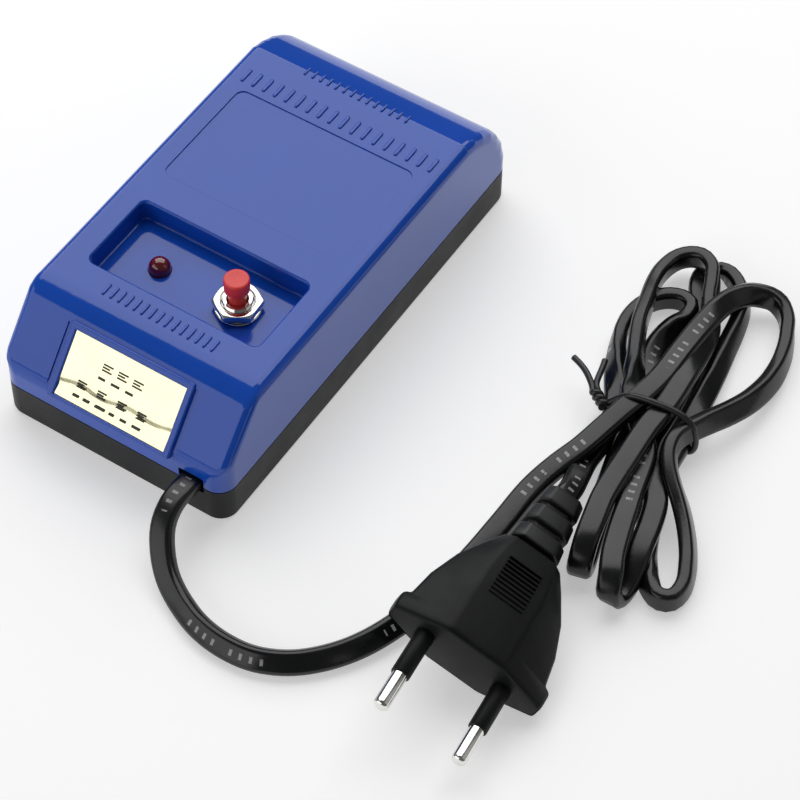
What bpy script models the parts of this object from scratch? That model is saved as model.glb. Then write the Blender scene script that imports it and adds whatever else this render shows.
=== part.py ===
"""Bench demagnetiser: two-part case, coil, push switch, pilot lamp, flat mains lead and plug.

Metres, +Z up. X runs along the front edge, Y towards the back, Z up.
The origin is the middle of the underside of the case. Every node is one closed solid.
"""

import math

import bmesh
import bpy
from mathutils import Matrix, Vector

# Case
LENGTH = 0.1105
WIDTH = 0.0570
HEIGHT = 0.0300
SEAM = 0.0094
SEAM_GAP = 0.0003
WALL = 0.0024
CORNER = 0.0042
EDGE_ROUND = 0.0028
SLOPE_TOP_Y = -0.0429
SLOPE_FOOT_Z = 0.0155
CREASE_Y = 0.0375
BACK_SHOULDER = (0.0495, 0.0268)
BACK_FOOT_Z = 0.0150
BASE_FLOOR = 0.0020
LIP_IN = 0.0014
LIP_RISE = 0.0017
CLEAR = 0.0003
PAST = 0.0400
OUTER_ROUNDS = (CORNER, EDGE_ROUND, 0.0018, 0.0020, 0.0003, 0.0040, 0.0019)
INNER_ROUNDS = (0.0018, 0.0008, 0.0010, 0.0012, 0.0002, 0.0020, 0.0011)

# Pocket in the top, with the lamp and the push button in its floor
POCKET_WIDTH = 0.0426
POCKET_DEPTH = 0.0196
POCKET_Y = -0.0224
POCKET_FLOOR = 0.0248
POCKET_CORNER = 0.0022
POCKET_WALL = 0.0016
POCKET_BOTTOM = POCKET_FLOOR - 0.0018
LAMP = (-0.0100, -0.0228)
LAMP_RADIUS = 0.00245
BUTTON = (0.0097, -0.0225)
CAP_RADIUS = 0.00275
STEM_RADIUS = 0.0020
CAP_TOP = 0.0344
CAP_FOOT = 0.0310
BUSHING_RADIUS = 0.00335
BUSHING_BORE = 0.0023
BUSHING_TOP = 0.0280
FLANGE_RADIUS = 0.0049
NUT_ACROSS_FLATS = 0.0096
NUT_TURN = math.radians(32.4)
NUT_FOOT = 0.0256
NUT_TOP = 0.0276
SWITCH_RADIUS = 0.0050
SWITCH_FOOT = 0.0105
TERMINAL_X = 0.0027
SPRING_FOOT = 0.0121
SPRING_TOP = 0.0166
SPRING_RADIUS = 0.0015
SPRING_TURNS = 5

# Shallow panel on top, label pad on the front slope
PANEL_X = 0.0226
PANEL_Y = (-0.0042, 0.0251)
PANEL_DEPTH = 0.0003
LABEL_WIDTH = 0.0276
LABEL_HEIGHT = 0.0144
LABEL_THICK = 0.0005
LABEL_DOWN = 0.0122
PAD_BORDER = 0.0009
PAD_RISE = 0.0003
PAD_FRONT = -0.0558

# Case screws and cord outlet
POSTS = ((-0.0225, -0.0385), (0.0225, -0.0385), (-0.0225, 0.0465), (0.0225, 0.0465))
POST_RADIUS = 0.0032
BOSS_RADIUS = 0.0042
SCREW_RADIUS = 0.0014
SCREW_TIP = 0.0175
SCREW_HOLE = 0.00175
WELL_RADIUS = 0.0030
WELL_TOP = 0.0050
OUTLET = (0.0202, -LENGTH / 2, 0.0100)
OUTLET_SIZE = (0.0062, 0.0046)
CLAMP_Y = -0.0480
CLAMP_SCREW_X = 0.0042

# Coil and its laminated core
COIL_Y = 0.0105
CORE_WIDTH = 0.0400
CORE_STACK = 0.0140
CORE_FOOT = 0.0066
CORE_TOP = 0.0266
YOKE = 0.0060
LIMB = 0.0060
MIDDLE_LIMB = 0.0110
WINDING_BUILD = 0.0070
BOBBIN_WEB = 0.0010
BRACKET_SCREW_X = 0.0135

# Lamp board
BOARD_LOW = (-0.0225, -0.0325, 0.0060)
BOARD_HIGH = (-0.0030, -0.0125, 0.0072)
BOARD_SCREW = (-0.0205, -0.0145)
BOARD_REST = (-0.0050, -0.0300)
WIRE_RADIUS = 0.0008

# Plug, lying on its lower right flank
PLUG_AT = Vector((0.0896, -0.0614, 0.0092))
PLUG_TURN = (math.radians(-1.6), math.radians(21.9), math.radians(5.2))
PIN_SPACING = 0.0183
PIN_RADIUS = 0.0020
PIN_LENGTH = 0.0190
SLEEVE_LENGTH = 0.0105
PLUG_BACK = 0.0280
RELIEF_END = 0.0450

# Mains lead, 5.2 mm wide and 3.2 mm thick, as a plain round tube of about the same section
CORD_TUBE_RADIUS = 0.0019
CORD_STEP = 0.0085
LEAD_ROUTE = (
    (0.0202, -0.0450, 0.0100),
    (0.0202, -0.0552, 0.0100),
    (0.0201, -0.0620, 0.0095),
    (0.0210, -0.0663, 0.0077),
    (0.0235, -0.0702, 0.0053),
    (0.0274, -0.0739, 0.0034),
    (0.0329, -0.0771, 0.0025),
    (0.0388, -0.0795, 0.0024),
    (0.0454, -0.0805, 0.0024),
    (0.0523, -0.0798, 0.0024),
    (0.0587, -0.0768, 0.0024),
    (0.0637, -0.0723, 0.0024),
    (0.0680, -0.0662, 0.0024),
    (0.0712, -0.0587, 0.0024),
    (0.0745, -0.0458, 0.0024),
    (0.0756, -0.0352, 0.0024),
    (0.0762, -0.0251, 0.0024),
    (0.0765, -0.0141, 0.0024),
    (0.0773, -0.0046, 0.0026),
    (0.0787, 0.0030, 0.0032),
)
TAIL_ROUTE = (
    (0.0854, -0.0160, 0.0076),
    (0.0855, -0.0125, 0.0073),
    (0.0858, -0.0090, 0.0068),
)
HANK_BOTTOM = 0.0026
HANK_TOP = 0.0098
HANK_OUTLINE = (
    (0.0768, 0.0040), (0.0788, 0.0140), (0.0740, 0.0260), (0.0700, 0.0400), (0.0700, 0.0520),
    (0.0760, 0.0610), (0.0860, 0.0650), (0.0970, 0.0640), (0.1060, 0.0570), (0.1080, 0.0440),
    (0.1060, 0.0290), (0.1000, 0.0140), (0.1060, 0.0030), (0.1130, -0.0060), (0.1190, -0.0160),
    (0.1180, -0.0250), (0.1110, -0.0300), (0.1030, -0.0330), (0.0960, -0.0310), (0.0925, -0.0230),
    (0.0905, -0.0087), (0.0830, -0.0087), (0.0818, 0.0026),
)
TIE_AT = (0.0893, 0.0140)
TIE_HALF = (0.0140, 0.0056)
TIE_RADIUS = 0.0007
TIE_CLEAR = 0.0002


def clear_scene():
    for thing in list(bpy.data.objects):
        bpy.data.objects.remove(thing, do_unlink=True)


def collection(name):
    group = bpy.data.collections.new(name)
    bpy.context.scene.collection.children.link(group)
    return group


clear_scene()
PARTS = collection("demagnetiser")
CUTTERS = collection("cutters")


def material(name, colour, roughness, metallic=0.0):
    finish = bpy.data.materials.new(name)
    finish.use_nodes = True
    shader = finish.node_tree.nodes["Principled BSDF"]
    shader.inputs["Base Color"].default_value = (*colour, 1.0)
    shader.inputs["Roughness"].default_value = roughness
    shader.inputs["Metallic"].default_value = metallic
    return finish


BLUE = material("blue_gloss_plastic", (0.015, 0.035, 0.33), 0.22)
BLACK = material("black_plastic", (0.025, 0.026, 0.027), 0.45)
LABEL = material("gold_foil", (0.90, 0.80, 0.45), 0.12, 1.0)
RED = material("red_plastic", (0.62, 0.03, 0.03), 0.30)
LAMP_RED = material("red_lamp_plastic", (0.16, 0.004, 0.006), 0.08)
NICKEL = material("nickel", (0.80, 0.79, 0.76), 0.12, 1.0)
STEEL = material("zinc_steel", (0.55, 0.56, 0.58), 0.35, 1.0)
COPPER = material("copper", (0.72, 0.36, 0.18), 0.30, 1.0)
PHENOLIC = material("phenolic_board", (0.32, 0.19, 0.08), 0.60)
NYLON = material("white_nylon", (0.78, 0.76, 0.70), 0.50)
PVC = material("black_pvc", (0.018, 0.018, 0.020), 0.28)
BEIGE = material("resistor_body", (0.55, 0.45, 0.30), 0.55)


def place(name, mesh, finish, cutter=False):
    """Link a mesh as a node of the part, or as a wire-drawn cutter."""
    thing = bpy.data.objects.new(name, mesh)
    (CUTTERS if cutter else PARTS).objects.link(thing)
    if cutter:
        thing.hide_render = True
        thing.display_type = "WIRE"
    elif finish:
        mesh.materials.append(finish)
    return thing


def mesh_from(bm, name):
    bmesh.ops.recalc_face_normals(bm, faces=bm.faces)
    mesh = bpy.data.meshes.new(name)
    bm.to_mesh(mesh)
    bm.free()
    return mesh


def box(name, low, high, finish=None):
    """A box between two corners; with no finish it is a cutter."""
    bm = bmesh.new()
    bmesh.ops.create_cube(bm, size=1.0)
    middle = (Vector(low) + Vector(high)) / 2
    size = Vector(high) - Vector(low)
    bmesh.ops.transform(bm, matrix=Matrix.Translation(middle) @ Matrix.Diagonal((*size, 1.0)), verts=bm.verts)
    return place(name, mesh_from(bm, name), finish, cutter=finish is None)


def rod(name, at, low, high, radius, finish=None, sides=20, turn=0.0):
    """An upright cylinder or prism about the vertical through at."""
    bm = bmesh.new()
    bmesh.ops.create_cone(bm, cap_ends=True, segments=sides, radius1=radius, radius2=radius, depth=high - low)
    matrix = Matrix.Translation((at[0], at[1], (low + high) / 2)) @ Matrix.Rotation(turn, 4, "Z")
    bmesh.ops.transform(bm, matrix=matrix, verts=bm.verts)
    thing = place(name, mesh_from(bm, name), finish, cutter=finish is None)
    if sides > 6:
        thing.data.shade_smooth()
        thing.data.set_sharp_from_angle(angle=math.radians(40))
    return thing


def turned(name, at, profile, finish=None, steps=24):
    """A turned solid: profile is (radius, z) pairs from the top of its axis down to the bottom of it."""
    bm = bmesh.new()
    points = [bm.verts.new((radius, 0.0, z)) for radius, z in profile]
    for upper, lower in zip(points, points[1:]):
        bm.edges.new((upper, lower))
    if profile[0][0] > 0.0:
        bm.edges.new((points[-1], points[0]))
    mesh = bpy.data.meshes.new(name)
    bm.to_mesh(mesh)
    bm.free()
    thing = place(name, mesh, finish, cutter=finish is None)
    thing.location = (at[0], at[1], 0.0)
    screw = thing.modifiers.new("turn", "SCREW")
    screw.steps = screw.render_steps = steps
    screw.use_merge_vertices = True
    screw.merge_threshold = 0.00001
    screw.use_smooth_shade = True
    return thing


def bevel(thing, width, segments=3, angle=math.radians(40)):
    modifier = thing.modifiers.new("round", "BEVEL")
    modifier.width = width
    modifier.segments = segments
    modifier.limit_method = "ANGLE"
    modifier.angle_limit = angle
    return thing


def boolean(thing, operation, *others):
    for other in others:
        modifier = thing.modifiers.new(f"{operation.lower()} {other.name}", "BOOLEAN")
        modifier.operation = operation
        modifier.object = other
        modifier.solver = "EXACT"
    return thing


def smooth_route(points, step):
    """Points read about a step apart from a smooth curve through the route's own points."""
    points = [Vector(p) for p in points]
    padded = [2 * points[0] - points[1], *points, 2 * points[-1] - points[-2]]
    fine = []
    for a, b, c, d in zip(padded, padded[1:], padded[2:], padded[3:]):
        for k in range(12):
            t = k / 12
            fine.append(0.5 * (2 * b + (c - a) * t + (2 * a - 5 * b + 4 * c - d) * t * t
                               + (3 * b - a - 3 * c + d) * t ** 3))
    fine.append(points[-1])
    reach = [0.0]
    for a, b in zip(fine, fine[1:]):
        reach.append(reach[-1] + (b - a).length)
    count = max(2, round(reach[-1] / step))
    route, k = [], 0
    for i in range(count + 1):
        goal = reach[-1] * i / count
        while k < len(reach) - 2 and reach[k + 1] < goal:
            k += 1
        share = (goal - reach[k]) / max(reach[k + 1] - reach[k], 1e-9)
        route.append(fine[k].lerp(fine[k + 1], min(1.0, share)))
    return route


def tube(name, points, radius, finish, resolution=2, closed=False):
    """A round cord or wire along a polyline."""
    curve = bpy.data.curves.new(name, "CURVE")
    curve.dimensions = "3D"
    spline = curve.splines.new("POLY")
    spline.points.add(len(points) - 1)
    for point, where in zip(spline.points, points):
        point.co = (*where, 1.0)
    spline.use_cyclic_u = closed
    curve.bevel_depth = radius
    curve.bevel_resolution = resolution
    curve.use_fill_caps = not closed
    curve.materials.append(finish)
    thing = bpy.data.objects.new(name, curve)
    PARTS.objects.link(thing)
    return thing


def extruded(name, outline, low, high, finish):
    """A flat outline in X and Y, made solid between two heights."""
    curve = bpy.data.curves.new(name, "CURVE")
    curve.dimensions = "2D"
    curve.fill_mode = "BOTH"
    curve.extrude = (high - low) / 2
    spline = curve.splines.new("POLY")
    spline.points.add(len(outline) - 1)
    for point, (x, y) in zip(spline.points, outline):
        point.co = (x, y, 0.0, 1.0)
    spline.use_cyclic_u = True
    curve.materials.append(finish)
    thing = bpy.data.objects.new(name, curve)
    thing.location.z = (low + high) / 2
    PARTS.objects.link(thing)
    return thing


# ---- case -----------------------------------------------------------------------------------

SIDE_PROFILE = (
    (-LENGTH / 2, SLOPE_FOOT_Z), (SLOPE_TOP_Y, HEIGHT), (CREASE_Y, HEIGHT), BACK_SHOULDER, (LENGTH / 2, BACK_FOOT_Z),
)


def inset_profile(inset, floor):
    """The case's side profile moved inwards, as (y, z) corners from the front foot over to the back foot."""
    corners = [Vector(p) for p in ((-LENGTH / 2, 0.0), *SIDE_PROFILE, (LENGTH / 2, 0.0))]
    lines = []
    for a, b in zip(corners, corners[1:]):
        along = (b - a).normalized()
        inward = Vector((along.y, -along.x))
        lines.append((a + inward * inset, along))
    moved = []
    for (a, along_a), (b, along_b) in zip(lines, lines[1:]):
        gap = b - a
        moved.append(a + along_a * (gap.cross(along_b) / along_a.cross(along_b)))
    front, back = moved[0].x, moved[-1].x
    return [Vector((front, floor)), *moved, Vector((back, floor))]


def upper_form(name, inset, floor, rounds, segments, finish=None):
    """The upper case's form: its side profile across the case, rounded by a weighted bevel.

    rounds: bevel widths of the upright corners, side edges, slope foot, slope top, back crease, shoulder and foot.
    With no finish it is a cutter.
    """
    upright, side, foot, roll, crease, shoulder, back = rounds
    profile = inset_profile(inset, floor)
    half = WIDTH / 2 - inset
    bm = bmesh.new()
    left = [bm.verts.new((-half, y, z)) for y, z in profile]
    face = bm.faces.new(left)
    grown = bmesh.ops.extrude_face_region(bm, geom=[face])
    right = [v for v in grown["geom"] if isinstance(v, bmesh.types.BMVert)]
    bmesh.ops.translate(bm, vec=(2 * half, 0.0, 0.0), verts=right)
    weight = bm.edges.layers.float.new("bevel_weight_edge")
    across = (0.0, foot, roll, crease, shoulder, back, 0.0)
    widest = max(rounds)
    for edge in bm.edges:
        a, b = edge.verts
        if abs(a.co.x - b.co.x) > half:
            nearest = min(range(len(profile)), key=lambda i: (Vector(a.co.yz) - profile[i]).length)
            width = across[nearest]
        elif max(a.co.z, b.co.z) < floor + 1e-6:
            width = 0.0
        elif abs(a.co.y - b.co.y) < 1e-6:
            width = upright
        else:
            width = side
        edge[weight] = width / widest
    thing = place(name, mesh_from(bm, name), finish, cutter=finish is None)
    modifier = thing.modifiers.new("rounds", "BEVEL")
    modifier.width = widest
    modifier.segments = segments
    modifier.limit_method = "WEIGHT"
    modifier.use_clamp_overlap = False
    return thing


def slope_frame():
    """Matrix of the front slope: x across, y up the slope, z out of it, origin at the middle of the label."""
    foot = Vector((0.0, -LENGTH / 2, SLOPE_FOOT_Z))
    top = Vector((0.0, SLOPE_TOP_Y, HEIGHT))
    up = (top - foot).normalized()
    out = Vector((1.0, 0.0, 0.0)).cross(up)
    middle = top - up * LABEL_DOWN
    return Matrix((
        (1.0, up.x, out.x, middle.x),
        (0.0, up.y, out.y, middle.y),
        (0.0, up.z, out.z, middle.z),
        (0.0, 0.0, 0.0, 1.0),
    ))


def on_slope(name, width, height, low, high, finish=None):
    block = box(name, (-width / 2, -height / 2, low), (width / 2, height / 2, high), finish)
    block.matrix_world = slope_frame()
    return block


def make_top_shell():
    shell = upper_form("top_shell", 0.0, SEAM + SEAM_GAP / 2, OUTER_ROUNDS, 4, BLUE)
    cavity = upper_form("top_cavity", WALL, SEAM - 0.002, INNER_ROUNDS, 2)
    half_x, half_y = POCKET_WIDTH / 2, POCKET_DEPTH / 2
    wall_x, wall_y = half_x + POCKET_WALL, half_y + POCKET_WALL
    tub = box("pocket_tub", (-wall_x, POCKET_Y - wall_y, POCKET_BOTTOM), (wall_x, POCKET_Y + wall_y, PAST))
    posts = [rod(f"post_{i}", at, SEAM + 0.0006, PAST, POST_RADIUS, sides=16) for i, at in enumerate(POSTS)]
    boolean(cavity, "DIFFERENCE", tub, *posts)
    boolean(shell, "DIFFERENCE", cavity)
    pad = on_slope("label_pad", LABEL_WIDTH + 2 * PAD_BORDER, LABEL_HEIGHT + 2 * PAD_BORDER, -0.0008, PAD_RISE)
    boolean(pad, "DIFFERENCE", box("pad_end", (-WIDTH, -LENGTH, 0.0), (WIDTH, PAD_FRONT, PAST)))
    boolean(shell, "UNION", pad)
    seat = on_slope("label_seat", LABEL_WIDTH + 2 * CLEAR, LABEL_HEIGHT + 2 * CLEAR, PAD_RISE - 0.0009, 0.002)
    pocket = box("pocket_space", (-half_x, POCKET_Y - half_y, POCKET_FLOOR), (half_x, POCKET_Y + half_y, PAST))
    bevel(pocket, POCKET_CORNER, 3)
    panel = box("panel_space", (-PANEL_X, PANEL_Y[0], HEIGHT - PANEL_DEPTH), (PANEL_X, PANEL_Y[1], PAST))
    lamp_hole = rod("lamp_hole", LAMP, 0.017, 0.031, LAMP_RADIUS + CLEAR, sides=20)
    button_hole = rod("button_hole", BUTTON, 0.017, 0.031, BUSHING_RADIUS + CLEAR, sides=24)
    pilots = [rod(f"pilot_{i}", at, 0.005, SCREW_TIP + 0.001, SCREW_HOLE, sides=12) for i, at in enumerate(POSTS)]
    lip_top = SEAM + LIP_RISE
    rebate = rounded_block("lip_rebate", LIP_IN - CLEAR, SEAM - 0.002, lip_top + CLEAR, CORNER - LIP_IN)
    rebate_core = rounded_block("rebate_core", WALL + CLEAR, SEAM - 0.004, lip_top + 0.004, CORNER - WALL)
    boolean(rebate, "DIFFERENCE", rebate_core)
    boolean(shell, "DIFFERENCE", seat, pocket, panel, lamp_hole, button_hole, *pilots, rebate, make_outlet())


def clamp_screws():
    return [(OUTLET[0] + side * CLAMP_SCREW_X, CLAMP_Y) for side in (-1, 1)]


def make_outlet():
    """The rectangular hole for the lead, half in each case part."""
    name = "outlet_space"
    if name in bpy.data.objects:
        return bpy.data.objects[name]
    x, y, z = OUTLET
    wide, tall = OUTLET_SIZE
    return box(name, (x - wide / 2, y - 0.004, z - tall / 2), (x + wide / 2, y + 0.006, z + tall / 2))


def rounded_block(name, inset, low, high, corner, finish=None):
    """A block with the case's plan, with its four upright corners rounded."""
    block = box(name, (-WIDTH / 2 + inset, -LENGTH / 2 + inset, low), (WIDTH / 2 - inset, LENGTH / 2 - inset, high),
                finish)
    weight = block.data.attributes.new("bevel_weight_edge", "FLOAT", "EDGE")
    for edge in block.data.edges:
        a, b = (block.data.vertices[i].co for i in edge.vertices)
        weight.data[edge.index].value = 1.0 if abs(a.z - b.z) > 1e-6 else 0.0
    modifier = block.modifiers.new("corners", "BEVEL")
    modifier.width = corner
    modifier.segments = 5
    modifier.limit_method = "WEIGHT"
    return block


def make_base_shell():
    top = SEAM - SEAM_GAP / 2
    base = rounded_block("base_shell", 0.0, 0.0, top, CORNER, BLACK)
    lip = rounded_block("base_lip", LIP_IN, top - 0.003, SEAM + LIP_RISE, CORNER - LIP_IN)
    space = rounded_block("base_space", WALL, BASE_FLOOR, 0.020, CORNER - WALL)
    bosses = [rod(f"boss_{i}", at, 0.0005, SEAM - CLEAR, BOSS_RADIUS, sides=18) for i, at in enumerate(POSTS)]
    bracket_screws = [(side * BRACKET_SCREW_X, COIL_Y) for side in (-1, 1)]
    feet = [rod(f"core_foot_{i}", at, 0.0005, 0.0050, 0.0032, sides=14) for i, at in enumerate(bracket_screws)]
    board_feet = [rod(f"board_foot_{i}", at, 0.0005, BOARD_LOW[2] - CLEAR, 0.0022, sides=12)
                  for i, at in enumerate((BOARD_SCREW, BOARD_REST))]
    saddle = box("cord_saddle", (0.0142, CLAMP_Y - 0.0025, 0.0005), (0.0275, CLAMP_Y + 0.0025, 0.0119))
    groove = box("cord_groove", (OUTLET[0] - 0.0030, CLAMP_Y - 0.0035, 0.0078),
                 (OUTLET[0] + 0.0030, CLAMP_Y + 0.0035, PAST))
    boolean(saddle, "DIFFERENCE", groove)
    boolean(space, "DIFFERENCE", *bosses, *feet, *board_feet, saddle)
    boolean(base, "UNION", lip)
    boolean(base, "DIFFERENCE", space)
    wells = [rod(f"well_{i}", at, -0.001, WELL_TOP, WELL_RADIUS, sides=16) for i, at in enumerate(POSTS)]
    holes = [rod(f"boss_hole_{i}", at, 0.003, 0.012, SCREW_HOLE, sides=12) for i, at in enumerate(POSTS)]
    pilots = [rod(f"foot_pilot_{i}", at, 0.0025, 0.008, 0.00125, sides=10) for i, at in enumerate(bracket_screws)]
    pilots += [rod(f"saddle_pilot_{i}", at, 0.0050, 0.014, 0.0011, sides=10) for i, at in enumerate(clamp_screws())]
    board_pilot = rod("board_pilot", BOARD_SCREW, 0.0025, 0.008, 0.0011, sides=10)
    boolean(base, "DIFFERENCE", *wells, *holes, *pilots, board_pilot, make_outlet())


def make_screw(name, at, head_low, head_high, head_radius, shank_radius, tip, finish=STEEL):
    """A round-headed screw: its head faces down when the tip is above it, and up when it is below."""
    if tip > head_high:
        profile = ((0.0, tip), (shank_radius * 0.5, tip - 0.0002), (shank_radius, tip - 0.0012),
                   (shank_radius, head_high), (head_radius, head_high), (head_radius, head_low + 0.0005),
                   (head_radius * 0.7, head_low), (0.0, head_low))
    else:
        profile = ((0.0, head_high), (head_radius * 0.7, head_high), (head_radius, head_high - 0.0005),
                   (head_radius, head_low), (shank_radius, head_low), (shank_radius, tip + 0.0012),
                   (shank_radius * 0.5, tip + 0.0002), (0.0, tip))
    return turned(name, at, profile, finish, steps=14)


def make_case():
    make_top_shell()
    make_base_shell()
    head_top = WELL_TOP - CLEAR
    for where, at in zip(("front_left", "front_right", "back_left", "back_right"), POSTS):
        make_screw(f"case_screw_{where}", at, head_top - 0.0019, head_top, 0.0027, SCREW_RADIUS, SCREW_TIP)
    back = PAD_RISE - 0.0006
    on_slope("label_plate", LABEL_WIDTH, LABEL_HEIGHT, back, back + LABEL_THICK, LABEL)


# ---- lamp -----------------------------------------------------------------------------------

def make_lamp():
    flange, top = 0.0191, 0.0278
    dome = [(LAMP_RADIUS * math.sin(a), top - LAMP_RADIUS * (1 - math.cos(a)))
            for a in (math.radians(18 * k) for k in range(6))]
    rim, rim_top = LAMP_RADIUS + 0.0004, flange + 0.0010
    turned("lamp_lens", LAMP, [*dome, (LAMP_RADIUS, rim_top), (rim, rim_top), (rim, flange), (0.0, flange)], LAMP_RED)
    ring_top, ring_foot, ring_bore = POCKET_BOTTOM - CLEAR, rim_top + CLEAR, LAMP_RADIUS + CLEAR
    turned("lamp_retainer", LAMP, [(ring_bore, ring_top), (0.0041, ring_top), (0.0041, ring_foot),
                                   (ring_bore, ring_foot)], BLACK, steps=20)
    for side, name in ((-1, "lamp_lead_left"), (1, "lamp_lead_right")):
        x = LAMP[0] + side * 0.00127
        box(name, (x - 0.00025, LAMP[1] - 0.00025, 0.0075), (x + 0.00025, LAMP[1] + 0.00025, flange - CLEAR), NICKEL)


# ---- push switch ----------------------------------------------------------------------------

def make_switch():
    flange_top = POCKET_BOTTOM - CLEAR
    bushing_foot, shoulder = 0.0191, 0.0186
    turned("button_bushing", BUTTON, [
        (BUSHING_BORE, BUSHING_TOP), (BUSHING_RADIUS - CLEAR, BUSHING_TOP), (BUSHING_RADIUS, BUSHING_TOP - CLEAR),
        (BUSHING_RADIUS, flange_top), (FLANGE_RADIUS, flange_top), (FLANGE_RADIUS, 0.0218), (0.0040, 0.0218),
        (0.0040, bushing_foot), (BUSHING_BORE, bushing_foot)], NICKEL)
    washer_foot, washer_top = POCKET_FLOOR + CLEAR, POCKET_FLOOR + 2 * CLEAR
    turned("lock_washer", BUTTON, [
        (BUSHING_RADIUS + CLEAR, washer_top), (0.0051, washer_top), (0.0051, washer_foot),
        (BUSHING_RADIUS + CLEAR, washer_foot)], NICKEL)
    nut = rod("button_nut", BUTTON, NUT_FOOT, NUT_TOP, NUT_ACROSS_FLATS / math.sqrt(3), NICKEL, sides=6, turn=NUT_TURN)
    boolean(nut, "DIFFERENCE", rod("nut_bore", BUTTON, 0.0233, 0.0303, BUSHING_RADIUS + 0.0002, sides=24))
    turned("button_cap", BUTTON, [
        (0.0, CAP_TOP), (CAP_RADIUS - 0.0004, CAP_TOP), (CAP_RADIUS, CAP_TOP - 0.0004), (CAP_RADIUS, CAP_FOOT),
        (STEM_RADIUS, CAP_FOOT), (STEM_RADIUS, shoulder), (0.0029, shoulder), (0.0029, 0.0178), (0.0, 0.0178)], RED)
    turned("contact_disc", BUTTON, [(0.0, 0.0175), (0.0030, 0.0175), (0.0030, 0.0171), (0.0, 0.0171)], COPPER)
    make_switch_body()
    coil = []
    for k in range(12 * SPRING_TURNS + 1):
        angle, share = math.tau * k / 12, k / (12 * SPRING_TURNS)
        coil.append((BUTTON[0] + SPRING_RADIUS * math.cos(angle), BUTTON[1] + SPRING_RADIUS * math.sin(angle),
                     SPRING_FOOT + (SPRING_TOP - SPRING_FOOT) * share))
    tube("button_spring", coil, 0.00022, STEEL)


def make_switch_body():
    """The switch's moulded cup, with a slot in its floor for each terminal."""
    floor, neck, rim, bore, mouth = SWITCH_FOOT + 0.0010, 0.0187, 0.0215, 0.0036, 0.0043
    body = turned("switch_body", BUTTON, [
        (mouth, rim), (SWITCH_RADIUS, rim), (SWITCH_RADIUS, SWITCH_FOOT), (0.0001, SWITCH_FOOT), (0.0001, floor),
        (bore, floor), (bore, neck), (mouth, neck)], BLACK)
    slots = []
    for side, name in ((-1, "switch_terminal_left"), (1, "switch_terminal_right")):
        x = BUTTON[0] + side * TERMINAL_X
        box(name, (x - 0.0002, BUTTON[1] - 0.0009, 0.0081), (x + 0.0002, BUTTON[1] + 0.0009, 0.0143), COPPER)
        slots.append(box(f"{name}_slot", (x - 0.0005, BUTTON[1] - 0.0012, SWITCH_FOOT - 0.0007),
                         (x + 0.0005, BUTTON[1] + 0.0012, floor + 0.0008)))
    boolean(body, "DIFFERENCE", *slots)


# ---- coil and core --------------------------------------------------------------------------

def make_coil():
    half_stack = CORE_STACK / 2
    front, back = COIL_Y - CORE_WIDTH / 2, COIL_Y + CORE_WIDTH / 2
    core = box("core_stack", (-half_stack, front, CORE_FOOT), (half_stack, back, CORE_TOP), STEEL)
    windows = [
        box("window_front", (-0.02, front + LIMB, CORE_FOOT + YOKE), (0.02, COIL_Y - MIDDLE_LIMB / 2, 0.04)),
        box("window_back", (-0.02, COIL_Y + MIDDLE_LIMB / 2, CORE_FOOT + YOKE), (0.02, back - LIMB, 0.04)),
    ]
    boolean(core, "DIFFERENCE", *windows)
    low, high = CORE_FOOT + YOKE + CLEAR, CORE_TOP - CLEAR
    inner = (half_stack + CLEAR, MIDDLE_LIMB / 2 + CLEAR)
    outer = (half_stack + WINDING_BUILD, CORE_WIDTH / 2 - LIMB - 0.0004)
    bobbin = box("coil_bobbin", (-outer[0], COIL_Y - outer[1], low), (outer[0], COIL_Y + outer[1], high), NYLON)
    hole = box("bobbin_hole", (-inner[0], COIL_Y - inner[1], low - 0.01), (inner[0], COIL_Y + inner[1], high + 0.01))
    web = BOBBIN_WEB
    groove = box("bobbin_groove", (-0.03, COIL_Y - 0.03, low + web), (0.03, COIL_Y + 0.03, high - web))
    groove_core = box("bobbin_core", (-inner[0] - web, COIL_Y - inner[1] - web, low),
                      (inner[0] + web, COIL_Y + inner[1] + web, high))
    boolean(groove, "DIFFERENCE", groove_core)
    boolean(bobbin, "DIFFERENCE", groove, hole)
    winding = box("coil_winding", (-outer[0] + 0.0006, COIL_Y - outer[1] + 0.0006, low + web + CLEAR),
                  (outer[0] - 0.0006, COIL_Y + outer[1] - 0.0006, high - web - CLEAR), COPPER)
    bevel(winding, 0.0020, 3)
    through = inner[0] + web + CLEAR, inner[1] + web + CLEAR
    boolean(winding, "DIFFERENCE", box("winding_hole", (-through[0], COIL_Y - through[1], 0.0),
                                       (through[0], COIL_Y + through[1], 0.04)))
    bracket = box("core_bracket", (-0.0172, COIL_Y - 0.0045, 0.0053), (0.0172, COIL_Y + 0.0045, 0.0115), STEEL)
    boolean(bracket, "DIFFERENCE",
            box("bracket_channel", (-half_stack - CLEAR, -0.02, 0.0063), (half_stack + CLEAR, 0.04, 0.02)),
            box("bracket_left", (-0.03, -0.02, 0.0063), (-half_stack - 0.0013, 0.04, 0.02)),
            box("bracket_right", (half_stack + 0.0013, -0.02, 0.0063), (0.03, 0.04, 0.02)),
            *[rod(f"bracket_hole_{side}", (side * BRACKET_SCREW_X, COIL_Y), 0.0, 0.01, 0.0017, sides=14)
              for side in (-1, 1)])
    for side, name in ((-1, "core_screw_left"), (1, "core_screw_right")):
        make_screw(name, (side * BRACKET_SCREW_X, COIL_Y), 0.0066, 0.0082, 0.0024, 0.0009, 0.0030)


# ---- circuit board, wires and cord clamp ----------------------------------------------------

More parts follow.
